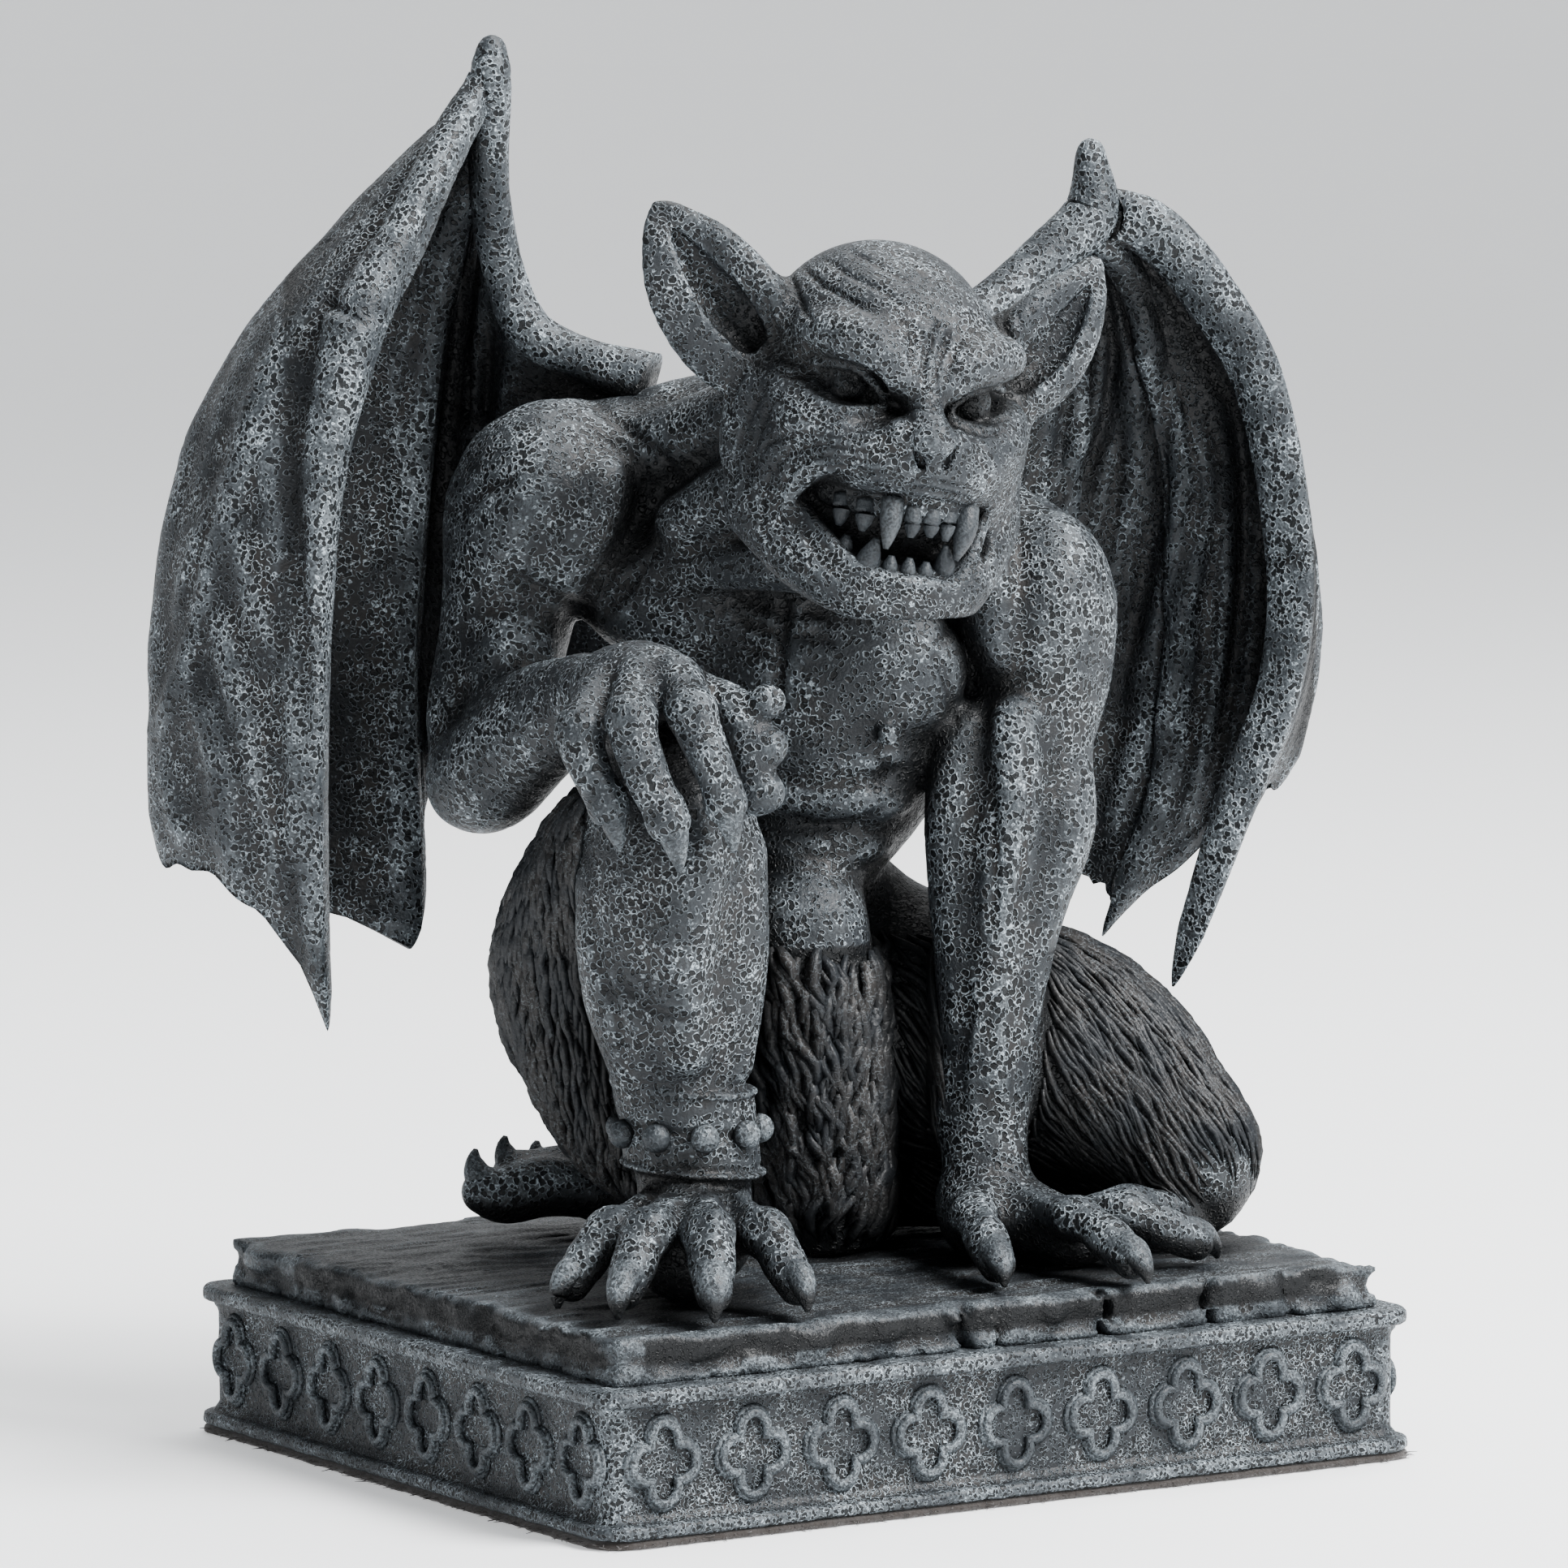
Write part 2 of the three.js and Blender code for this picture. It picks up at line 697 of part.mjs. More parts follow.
// A panel as a closed sheet: a box whose two broad faces lie half the thickness to each side.
function sheet(panel, across, down) {
  const step = 0.01;
  return reshape(new THREE.BoxGeometry(1, 1, 2, across, down, 1), (p) => {
    const [a, b, side] = [p.x + 0.5, Math.max(0.5 - p.y, step), p.z];
    const alongA = panel(Math.min(a + step, 1), b).sub(panel(Math.max(a - step, 0), b));
    const alongB = panel(a, Math.min(b + step, 1)).sub(panel(a, b - step));
    const normal = alongB.cross(alongA).normalize();
    p.copy(panel(a, b)).addScaledVector(normal, (side * MEMBRANE_THICKNESS) / 2);
  });
}

function wing({ arm, wrist, thumb, fingers, edge, bulges }) {
  const armBone = limb([...arm, wrist, thumb], { rings: 10 });
  const fingerBones = fingers.map((stations) => limb([wrist, ...stations], { rings: 10 }));
  const [first, second, third] = fingers.map((stations) => curveThrough([wrist, ...stations]));
  const armLine = curveThrough([...arm, wrist].reverse());
  const freeEdge = curveThrough([arm[0], ...edge]);
  const membrane = [
    sheet(panelBetween(first, second, bulges[0], SCALLOPS[0]), 8, 9),
    sheet(panelBetween(second, third, bulges[1], SCALLOPS[1]), 3, 8),
    sheet(panelUnderArm(armLine, third, freeEdge), 6, 7),
  ];
  return union(armBone, fingerBones, membrane);
}

// The gargoyle without its wings, its soles cut level just above the slab
function gargoyle() {
  const whole = union(torso(), rightArm(), leftArm(), rightHandFingers(), leftHandFingers(), rightLeg())
    .add(union(anklet(), leftLeg(), fur()))
    .add(head());
  const ground = block(300, 300, 60, [0, 0, SOLE - 30]);
  return whole.subtract(solidOf(ground));
}

// A wing's root ends just short of the shoulder: the body is cut out of it, moved out towards the wing.
function wingOff(body, wholeWing, outwards) {
  const [x, y, z] = ROOT_SHIFT;
  return wholeWing.subtract(body.translate(outwards * x, y, z));
}

function feltPad() {
  const edge = 2 * (FOOT_MOULDING.overhang - FELT_INSET);
  const outline = roundedRectangle(FRIEZE_WIDTH + edge, FRIEZE_DEPTH + edge, CORNER_RADIUS);
  const options = { depth: FELT_THICKNESS, bevelEnabled: false, curveSegments: 2 };
  return solidOf(new THREE.ExtrudeGeometry(outline, options));
}

function piece(name, solid, color, roughness) {
  const material = new THREE.MeshStandardMaterial({ color, roughness, metalness: 0 });
  const mesh = new THREE.Mesh(geometryOf(solid), material);
  mesh.name = name;
  return mesh;
}

const statue = new THREE.Group();
statue.add(piece("felt_pad", feltPad(), DARK_FELT, 0.95));
statue.add(piece("plinth", plinth(), STONE_GREY, 0.55));

const figure = new THREE.Group();
figure.rotation.z = FIGURE_TURN;
const body = await thinned(gargoyle(), BODY_TRIANGLES);
figure.add(piece("gargoyle", body, STONE_GREY, 0.5));
for (const [side, outwards] of [
  ["right", -1],
  ["left", 1],
]) {
  const wholeWing = await thinned(wing(WINGS[side]), WING_TRIANGLES);
  figure.add(piece(`wing_${side}`, wingOff(body, wholeWing, outwards), STONE_GREY, 0.5));
}
statue.add(figure);

export default statue;
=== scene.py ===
"""Kneeling gargoyle figurine: the carved skin, fur, wings, plinth and finish around its solids.

Sizes are in millimetres until a mesh is written, which is in metres. The gargoyle and its wings are
worked out in the figure's own frame, which is turned on the plinth: +X is its left side, -Y is the way
its chest faces. A station is (x, y, z, radius).
"""

import math

import bpy
import numpy as np
from bpy.props import FloatProperty, FloatVectorProperty, PointerProperty
from mathutils import Matrix, Vector


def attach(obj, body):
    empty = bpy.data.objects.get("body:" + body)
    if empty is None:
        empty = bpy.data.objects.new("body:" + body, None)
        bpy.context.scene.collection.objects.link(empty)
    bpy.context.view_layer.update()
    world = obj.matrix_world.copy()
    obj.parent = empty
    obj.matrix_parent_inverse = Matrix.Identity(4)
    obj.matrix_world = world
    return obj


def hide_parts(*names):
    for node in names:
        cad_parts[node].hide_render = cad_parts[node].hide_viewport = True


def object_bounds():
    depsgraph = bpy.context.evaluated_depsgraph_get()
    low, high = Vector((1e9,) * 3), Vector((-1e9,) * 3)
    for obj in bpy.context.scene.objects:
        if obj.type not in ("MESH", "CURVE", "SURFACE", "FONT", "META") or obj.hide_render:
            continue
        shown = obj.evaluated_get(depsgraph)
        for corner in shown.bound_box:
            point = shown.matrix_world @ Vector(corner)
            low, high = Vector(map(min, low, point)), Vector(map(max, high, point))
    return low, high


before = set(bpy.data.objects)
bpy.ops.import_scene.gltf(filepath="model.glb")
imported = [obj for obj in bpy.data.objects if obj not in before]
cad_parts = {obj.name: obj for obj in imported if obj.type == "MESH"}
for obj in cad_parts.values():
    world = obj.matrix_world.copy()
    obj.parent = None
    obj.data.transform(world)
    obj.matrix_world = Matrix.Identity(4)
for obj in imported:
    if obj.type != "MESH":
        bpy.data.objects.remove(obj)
CAD_BOX = [list(corner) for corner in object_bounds()]

bl_info = {
    "name": "Kneeling gargoyle",
    "version": (1, 0, 0),
    "blender": (4, 5, 0),
    "location": "View3D > Sidebar > Gargoyle",
    "description": "Makes a cast figurine of a kneeling gargoyle on its plinth",
    "category": "Add Mesh",
}

MM = 0.001
BODY = "root"
FIGURE_TURN = math.radians(-31.5)
SLAB_TOP = 26.0
SOLE = 26.3

# The camera, in millimetres and degrees, and the frame of the picture in pixels
CAMERA_AT = (-638.28, -1036.97, 214.01)
CAMERA_AZIMUTH, CAMERA_ELEVATION, CAMERA_ROLL = -31.5427, 5.9402, -0.3424
PICTURE_SIDE = 1932
FOCAL_PIXELS = 11544.56
SENSOR = 36.0


def camera_axes():
    """The unit vectors to the right, up and forwards of the camera, from its three angles."""
    azimuth, elevation, roll = np.radians([CAMERA_AZIMUTH, CAMERA_ELEVATION, CAMERA_ROLL])
    forward = np.array(
        [
            -math.sin(azimuth) * math.cos(elevation),
            math.cos(azimuth) * math.cos(elevation),
            -math.sin(elevation),
        ]
    )
    level = np.array([math.cos(azimuth), math.sin(azimuth), 0.0])
    up = np.cross(level, forward)
    right = level * math.cos(roll) + up * math.sin(roll)
    return right, up * math.cos(roll) - level * math.sin(roll), forward


def turned(points, angle):
    """Points turned about the vertical axis by an angle in radians."""
    c, s = math.cos(angle), math.sin(angle)
    x, y = points[..., 0], points[..., 1]
    return np.stack([x * c - y * s, x * s + y * c, points[..., 2]], axis=-1)


def seen_at(points):
    """Where points of the figure's frame fall in the picture, in pixels right and down."""
    right, up, forward = camera_axes()
    away = turned(points, FIGURE_TURN) - np.array(CAMERA_AT)
    depth = away @ forward
    middle = PICTURE_SIDE / 2
    across = middle + FOCAL_PIXELS * (away @ right) / depth
    return np.stack([across, middle - FOCAL_PIXELS * (away @ up) / depth], axis=-1)


def towards_camera(normals):
    """How far normals of the figure's frame face the camera, from -1 to 1."""
    return -(turned(normals, FIGURE_TURN) @ camera_axes()[2])


# Noise


def lattice(cell, seed):
    """A fixed random number from 0 to 1 for each cell of a cubic lattice: its three whole numbers are
    multiplied by large odd numbers, added, and mixed by shifts and exclusive or."""
    c = cell.astype(np.int64).astype(np.uint32)
    n = c[..., 0] * np.uint32(374761393) + c[..., 1] * np.uint32(668265263)
    n = n + c[..., 2] * np.uint32(2246822519) + np.uint32(seed * 3266489917 % 2**32)
    n = (n ^ (n >> np.uint32(13))) * np.uint32(1274126177)
    n = (n ^ (n >> np.uint32(16))) * np.uint32(2654435761)
    n = n ^ (n >> np.uint32(15))
    return n.astype(np.float64) / 2**32


def swells(points, size, seed=0):
    """Smooth noise from -1 to 1: the lattice's numbers at the eight corners around a point, blended by
    an S curve along each axis. size is the lattice's step, one number or one for each axis."""
    p = points / np.asarray(size, float)
    low = np.floor(p)
    f = p - low
    f = f * f * (3 - 2 * f)
    total = np.zeros(p.shape[:-1])
    for corner in np.ndindex(2, 2, 2):
        c = np.array(corner)
        weight = np.prod(np.where(c == 1, f, 1 - f), axis=-1)
        total += weight * lattice(low + c, seed)
    return 2 * total - 1


def rough(points, size, octaves=3, seed=0):
    """Sum of swells, each of half the size and half the height of the one before."""
    return sum(swells(points, size / 2**i, seed + i) / 2**i for i in range(octaves))


def cobbles(points, size, seed=0):
    """Distances to the nearest and second nearest of scattered points, one to each cell, in cells."""
    p = points / size
    low = np.floor(p)
    nearest = np.full(p.shape[:-1], 9.0)
    second = nearest.copy()
    for offset in np.ndindex(3, 3, 3):
        cell = low + np.array(offset) - 1
        spot = cell + np.stack([lattice(cell, seed + i) for i in range(3)], axis=-1)
        d = np.linalg.norm(p - spot, axis=-1)
        second = np.minimum(second, np.maximum(nearest, d))
        nearest = np.minimum(nearest, d)
    return nearest, second


def smooth_path(points, steps):
    """A Catmull-Rom curve through the points, with a number of steps from each one to the next."""
    p = np.asarray(points, float)
    if len(p) == 2:
        t = np.linspace(0, 1, steps + 1)[:, None]
        return p[0] * (1 - t) + p[1] * t
    p = np.concatenate([[2 * p[0] - p[1]], p, [2 * p[-1] - p[-2]]])
    t = (np.arange(steps) / steps)[None, :, None]
    a, b, c, d = (p[i : len(p) - 3 + i, None] for i in range(4))
    run = 0.5 * (2 * b + (c - a) * t + (2 * a - 5 * b + 4 * c - d) * t**2 + (3 * b - a - 3 * c + d) * t**3)
    return np.concatenate([run.reshape(-1, p.shape[1]), p[-2:-1]])


# Clay: a body as a field of distances on a grid, below 0 inside

FAR = 9.0
REACH = 3.0


def turn_matrix(x, y, z, order="xyz"):
    """Rotation matrix of turns in degrees: for xyz the turn about Z is done first, for zyx that about X."""
    (cx, cy, cz), (sx, sy, sz) = np.cos(np.radians([x, y, z])), np.sin(np.radians([x, y, z]))
    rx = np.array([[1, 0, 0], [0, cx, -sx], [0, sx, cx]])
    ry = np.array([[cy, 0, sy], [0, 1, 0], [-sy, 0, cy]])
    rz = np.array([[cz, -sz, 0], [sz, cz, 0], [0, 0, 1]])
    return rx @ ry @ rz if order == "xyz" else rz @ ry @ rx


class Limb:
    """A tube through stations with round ends. Its field is the distance to the nearest segment of a
    smooth curve through them, less the radius there. flat squeezes it along the direction across."""

    def __init__(self, *stations, blend=2.0, flat=1.0, across=(0, 1, 0), cut=False, steps=4):
        self.path = smooth_path(stations, steps)
        self.path[:, 3] = np.maximum(self.path[:, 3], 0.1)
        self.blend, self.flat, self.cut = blend, flat, cut
        self.across = np.asarray(across, float) / np.linalg.norm(across)

    def placed(self, matrix, at):
        self.path[:, :3] = self.path[:, :3] @ matrix.T + at
        self.across = matrix @ self.across
        return self

    def box(self):
        r = self.path[:, 3:]
        return (self.path[:, :3] - r).min(0), (self.path[:, :3] + r).max(0)

    def write(self, clay, out, window):
        for a, b in zip(self.path[:-1], self.path[1:]):
            r = max(a[3], b[3]) + REACH
            part = clay.window(np.minimum(a, b)[:3] - r, np.maximum(a, b)[:3] + r, window)
            if part is None:
                continue
            x, y, z = clay.axes_in(part)
            along = b[:3] - a[:3]
            length2 = max(along @ along, 1e-9)
            h = ((x - a[0]) * along[0] + (y - a[1]) * along[1] + (z - a[2]) * along[2]) / length2
            h = np.clip(h, 0, 1)
            q = [w - a[i] - h * along[i] for i, w in enumerate((x, y, z))]
            if self.flat != 1:
                side = sum(q[i] * self.across[i] for i in range(3)) * (1 / self.flat - 1)
                q = [q[i] + side * self.across[i] for i in range(3)]
            d = np.sqrt(q[0] ** 2 + q[1] ** 2 + q[2] ** 2) - a[3] - h * (b[3] - a[3])
            if self.flat != 1:
                d *= (1 + self.flat) / 2
            local = tuple(slice(p.start - w.start, p.stop - w.start) for p, w in zip(part, window))
            out[local] = np.minimum(out[local], d)


class Mass:
    """An ellipsoid: with k0 the point's distance in radii and k1 the length of its gradient, the field
    is k0 (k0 - 1) / k1."""

    def __init__(self, at, radii, turn=(0, 0, 0), blend=2.0, cut=False):
        self.at, self.radii = np.array(at, float), np.array(radii, float)
        self.matrix = turn_matrix(*turn)
        self.blend, self.cut = blend, cut

    def placed(self, matrix, at):
        self.at = matrix @ self.at + at
        self.matrix = matrix @ self.matrix
        return self

    def box(self):
        half = np.sqrt(((self.matrix * self.radii) ** 2).sum(1))
        return self.at - half, self.at + half

    def write(self, clay, out, window):
        x, y, z = clay.axes_in(window)
        m = self.matrix
        k0 = k1 = 0
        for i in range(3):
            q = (x - self.at[0]) * m[0, i] + (y - self.at[1]) * m[1, i] + (z - self.at[2]) * m[2, i]
            k0 = k0 + (q / self.radii[i]) ** 2
            k1 = k1 + (q / self.radii[i] ** 2) ** 2
        k0 = np.sqrt(k0)
        np.copyto(out, k0 * (k0 - 1) / np.sqrt(k1 + 1e-12))


class Clay:
    """A block of the field, sampled on a grid, to which limbs and masses are added with soft joints."""

    def __init__(self, low, high, step):
        self.step, self.low = step, np.array(low, float)
        self.count = np.ceil((np.array(high) - self.low) / step).astype(int) + 1
        self.high = self.low + step * (self.count - 1)
        self.axes = [(self.low[i] + step * np.arange(self.count[i])).astype(np.float32) for i in range(3)]
        self.field = np.full(self.count, FAR, np.float32)

    def window(self, low, high, within=None):
        """The slices of the grid that a box covers, or None."""
        start = np.maximum(np.floor((low - self.low) / self.step).astype(int), 0)
        stop = np.minimum(np.ceil((high - self.low) / self.step).astype(int) + 1, self.count)
        if within is not None:
            start = np.maximum(start, [w.start for w in within])
            stop = np.minimum(stop, [w.stop for w in within])
        if (start >= stop).any():
            return None
        return tuple(slice(int(a), int(b)) for a, b in zip(start, stop))

    def axes_in(self, window):
        return np.ix_(*(axis[w] for axis, w in zip(self.axes, window)))

    def add(self, shape):
        """Soft union, or soft cut: of two fields a and b closer than k, the smaller, less
        (k - |a - b|) squared over 4k."""
        low, high = shape.box()
        window = self.window(low - REACH - shape.blend, high + REACH + shape.blend)
        if window is None:
            return
        out = np.full([w.stop - w.start for w in window], FAR, np.float32)
        shape.write(self, out, window)
        k = max(shape.blend, 1e-3)
        old = self.field[window]
        if shape.cut:
            soft = np.maximum(k - np.abs(old + out), 0) ** 2 / (4 * k)
            self.field[window] = np.maximum(old, -out) + soft
        else:
            soft = np.maximum(k - np.abs(old - out), 0) ** 2 / (4 * k)
            self.field[window] = np.minimum(old, out) - soft

    def keep_box(self, low, high):
        """Cuts off all that is outside a box."""
        for i, (a, b) in enumerate(zip(low, high)):
            shape = [1, 1, 1]
            shape[i] = -1
            axis = self.axes[i].reshape(shape)
            self.field = np.maximum(self.field, np.maximum(a - axis, axis - b))

    def leave_box(self, low, high):
        """Cuts a box out."""
        inside = None
        for i, (a, b) in enumerate(zip(low, high)):
            shape = [1, 1, 1]
            shape[i] = -1
            axis = self.axes[i].reshape(shape)
            d = np.maximum(a - axis, axis - b)
            inside = d if inside is None else np.maximum(inside, d)
        self.field = np.maximum(self.field, -inside)

    def at(self, points):
        """The field at points, blended between the eight nearest samples."""
        q = np.clip((points - self.low) / self.step, 0, self.count - 1.001)
        low = q.astype(np.int64)
        f = q - low
        flat = self.field.reshape(-1)
        base = (low[..., 0] * self.count[1] + low[..., 1]) * self.count[2] + low[..., 2]
        total = 0
        for dx, dy, dz in np.ndindex(2, 2, 2):
            weight = np.abs(1 - dx - f[..., 0]) * np.abs(1 - dy - f[..., 1]) * np.abs(1 - dz - f[..., 2])
            total = total + weight * flat[base + (dx * self.count[1] + dy) * self.count[2] + dz]
        return total

    def slope(self, points, reach=None):
        """The field's gradient, from differences over the reach to each side."""
        d = reach or self.step
        columns = [self.at(points + d * axis) - self.at(points - d * axis) for axis in np.eye(3)]
        return np.stack(columns, axis=-1) / (2 * d)


CORNERS = np.array(list(np.ndindex(2, 2, 2)))
CELL_EDGES = [(a, b) for a in range(8) for b in range(8) if a < b and abs(CORNERS[a] - CORNERS[b]).sum() == 1]


def skin(clay):
    """The surface where the field is 0. Each cell with corners of both signs gets a vertex at the mean
    of the crossings on its edges, and each grid edge that changes sign gets a quad of its four cells."""
    field = clay.field
    inside = field < 0
    size = np.array(field.shape) - 1
    view = [inside[tuple(slice(c, c + n) for c, n in zip(corner, size))] for corner in CORNERS]
    filled = sum(v.astype(np.int8) for v in view)
    cells = np.argwhere((filled > 0) & (filled < 8))
    index = np.full(size, -1, np.int64)
    index[tuple(cells.T)] = np.arange(len(cells))
    values = np.stack([field[tuple((cells + corner).T)] for corner in CORNERS], axis=1)
    total = np.zeros((len(cells), 3))
    count = np.zeros(len(cells))
    for a, b in CELL_EDGES:
        crosses = (values[:, a] < 0) != (values[:, b] < 0)
        gap = np.where(crosses, values[:, a] - values[:, b], 1)
        t = values[:, a] / gap
        point = CORNERS[a] + t[:, None] * (CORNERS[b] - CORNERS[a])
        total += point * crosses[:, None]
        count += crosses
    vertices = clay.low + clay.step * (cells + total / count[:, None])
    quads = []
    for axis in range(3):
        one, two = (axis + 1) % 3, (axis + 2) % 3
        first, second = [slice(None)] * 3, [slice(None)] * 3
        first[axis], second[axis] = slice(0, -1), slice(1, None)
        leaves = inside[tuple(first)] & ~inside[tuple(second)]
        enters = ~inside[tuple(first)] & inside[tuple(second)]
        for changes, order in ((leaves, 1), (enters, -1)):
            edge = np.argwhere(changes)
            u, v = np.eye(3, dtype=int)[one], np.eye(3, dtype=int)[two]
            ring = [edge - u - v, edge - v, edge, edge - u][::order]
            quads.append(np.stack([index[tuple(r.T)] for r in ring], axis=1))
    return vertices, np.concatenate(quads)


def settle(clay, vertices, rounds=3):
    """Moves vertices onto the surface by Newton's steps along the field's gradient."""
    for _ in range(rounds):
        slope = clay.slope(vertices)
        length2 = np.maximum((slope**2).sum(1), 0.04)
        move = slope * (clay.at(vertices) / length2)[:, None]
        far = np.linalg.norm(move, axis=1, keepdims=True)
        vertices = vertices - move * np.minimum(1, 0.5 * clay.step / np.maximum(far, 1e-9))
    return vertices


def faces_normals(vertices, quads):
    """Unit normal of each vertex: the sum of the cross products of its faces' diagonals."""
    v = vertices[quads]
    last = v[:, 3] if quads.shape[1] == 4 else v[:, 0]
    cross = np.cross(v[:, 2] - v[:, 0], last - v[:, 1])
    normal = np.zeros_like(vertices)
    for column in quads.T:
        for axis in range(3):
            normal[:, axis] += np.bincount(column, cross[:, axis], len(vertices))
    return normal / np.maximum(np.linalg.norm(normal, axis=1, keepdims=True), 1e-12)


def ring_mean(values, quads, count):
    """The mean of each vertex's neighbours along the edges of the faces."""
    total = np.zeros((count, values.shape[1]))
    degree = np.zeros(count)
    for a, b in zip(quads.T, np.roll(quads, -1, axis=1).T):
        for source, target in ((a, b), (b, a)):
            degree += np.bincount(target, minlength=count)
            for axis in range(values.shape[1]):
                total[:, axis] += np.bincount(target, values[source, axis], count)
    return total / np.maximum(degree, 1)[:, None]


def edges_standing(vertices, quads, normals, rounds=2):
    """How far each vertex stands out of its surroundings, in millimetres, from smoothed neighbours."""
    smooth = vertices
    for _ in range(rounds * 3):
        smooth = ring_mean(smooth, quads, len(vertices))
    return ((vertices - smooth) * normals).sum(1)


# Carving strokes, drawn as seen from the camera


class Strokes:
    """Grooves and ridges along curves that are drawn in the picture. A point's height is the stroke's
    height times (1 - 0.6 x^2) e^(-x^2), with x its distance in widths, and it fades at both ends."""

    def __init__(self, height, width, *paths, fade=0.25, steps=5, plain=False):
        self.height, self.width, self.fade, self.plain = height, width, fade, plain
        self.paths = [smooth_path(path, steps) for path in paths]

    def heights(self, spots):
        total = np.zeros(len(spots))
        reach = 2.6 * self.width
        for path in self.paths:
            low, high = path.min(0) - reach, path.max(0) + reach
            near = np.nonzero(((spots > low) & (spots < high)).all(1))[0]
            if not len(near):
                continue
            p = spots[near]
            best = np.full(len(near), 1e9)
            place = np.zeros(len(near))
            for i, (a, b) in enumerate(zip(path[:-1], path[1:])):
                along = b - a
                h = np.clip(((p - a) @ along) / max(along @ along, 1e-9), 0, 1)
                d = np.linalg.norm(p - a - h[:, None] * along, axis=1)
                closer = d < best
                best = np.where(closer, d, best)
                place = np.where(closer, (i + h) / (len(path) - 1), place)
            x = best / self.width
            bell = np.exp(-x * x)
            shape = bell if self.plain else (1 - 0.6 * x * x) * bell
            ends = np.clip(np.minimum(place, 1 - place) / self.fade, 0, 1)
            total[near] += self.height * shape * (ends * (2 - ends))
        return total


def carved(vertices, quads, strokes, nearest=-200, farthest=200):
    """Moves vertices along their normals by the strokes, where they face the camera and lie between
    two depths of the figure's frame."""
    normals = faces_normals(vertices, quads)
    faces = np.clip((towards_camera(normals) - 0.02) / 0.3, 0, 1)
    faces *= (vertices[:, 1] > nearest) & (vertices[:, 1] < farthest)
    spots = seen_at(vertices)
    height = sum(s.heights(spots) for s in strokes) * faces
    return vertices + normals * height[:, None]


# Meshes


def to_mesh(name, vertices, faces, material, replaced, values=None, smooth=True):
    """Writes arrays into a new mesh object in metres, with one number a vertex for each named value,
    and puts it on the body in the place of the solids it stands for."""
    mesh = bpy.data.meshes.new(name)
    faces = np.asarray(faces)
    mesh.vertices.add(len(vertices))
    mesh.vertices.foreach_set("co", (vertices * MM).astype(np.float32).ravel())
    mesh.loops.add(faces.size)
    mesh.loops.foreach_set("vertex_index", faces.astype(np.int32).ravel())
    mesh.polygons.add(len(faces))
    mesh.polygons.foreach_set("loop_start", np.arange(0, faces.size, faces.shape[1], dtype=np.int32))
    mesh.polygons.foreach_set("loop_total", np.full(len(faces), faces.shape[1], np.int32))
    mesh.update(calc_edges=True)
    mesh.validate()
    mesh.polygons.foreach_set("use_smooth", np.full(len(mesh.polygons), smooth))
    for key, numbers in (values or {}).items():
        attribute = mesh.attributes.new(key, "FLOAT", "POINT")
        attribute.data.foreach_set("value", numbers.astype(np.float32))
    mesh.materials.append(material)
    piece = bpy.data.objects.new(name, mesh)
    bpy.context.scene.collection.objects.link(piece)
    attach(piece, BODY)
    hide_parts(replaced)
    return piece


def grid_faces(rows, columns, first=0, wrap=False):
    """Quads between neighbouring rows and columns of a grid of vertices, joined round if it wraps."""
    last = columns if wrap else columns - 1
    i, j = np.meshgrid(np.arange(rows - 1), np.arange(last), indexing="ij")
    k = (j + 1) % columns
    quads = np.stack([i * columns + j, i * columns + k, (i + 1) * columns + k, (i + 1) * columns + j], -1)
    return first + quads.reshape(-1, 4)


def joined(parts):
    """Several (vertices, faces, values) sets as one."""
    start, vertices, faces, values = 0, [], [], {}
    for points, quads, numbers in parts:
        vertices.append(points)
        faces.append(quads + start)
        start += len(points)
        for key, column in numbers.items():
            values.setdefault(key, []).append(column)
    return np.concatenate(vertices), np.concatenate(faces), {k: np.concatenate(v) for k, v in values.items()}


def swept(paths, radii, sides, across=None, flat=1.0):
    """Tubes along many paths at once. paths is (tubes, rings, 3) and radii (tubes, rings). Each ring is
    a circle across the path, squeezed by flat along the direction across, and the rings close to a
    small ring at both ends, which is filled by a fan of quads."""
    tubes, rings, _ = paths.shape
    tangent = np.gradient(paths, axis=1)
    tangent /= np.maximum(np.linalg.norm(tangent, axis=2, keepdims=True), 1e-9)
    guide = np.broadcast_to(np.array([0.13, 0.2, 0.97]) if across is None else across, tangent.shape)
    side = np.cross(tangent, guide)
    side /= np.maximum(np.linalg.norm(side, axis=2, keepdims=True), 1e-9)
    over = np.cross(tangent, side)
    angle = np.arange(sides) * 2 * np.pi / sides
    ring = (
        side[:, :, None] * np.cos(angle)[None, None, :, None]
        + over[:, :, None] * np.sin(angle)[None, None, :, None] * flat
    )
    points = paths[:, :, None] + ring * radii[:, :, None, None]
    start = np.arange(tubes)[:, None, None] * rings * sides
    faces = (start + grid_faces(rings, sides, wrap=True)[None]).reshape(-1, 4)
    caps = []
    for row, order in ((0, -1), (rings - 1, 1)):
        corner = np.arange(1, sides - 2, 2)
        fan = np.stack([np.zeros_like(corner), corner, corner + 1, corner + 2], axis=1)[:, ::order]
        caps.append((start + (row * sides + fan)[None]).reshape(-1, 4))
    return points.reshape(-1, 3), np.concatenate([faces] + caps)


# The body's forms

HEAD_AT = (11.4, -24, 141.5)
HEAD_TURN = (4, 10, 15)


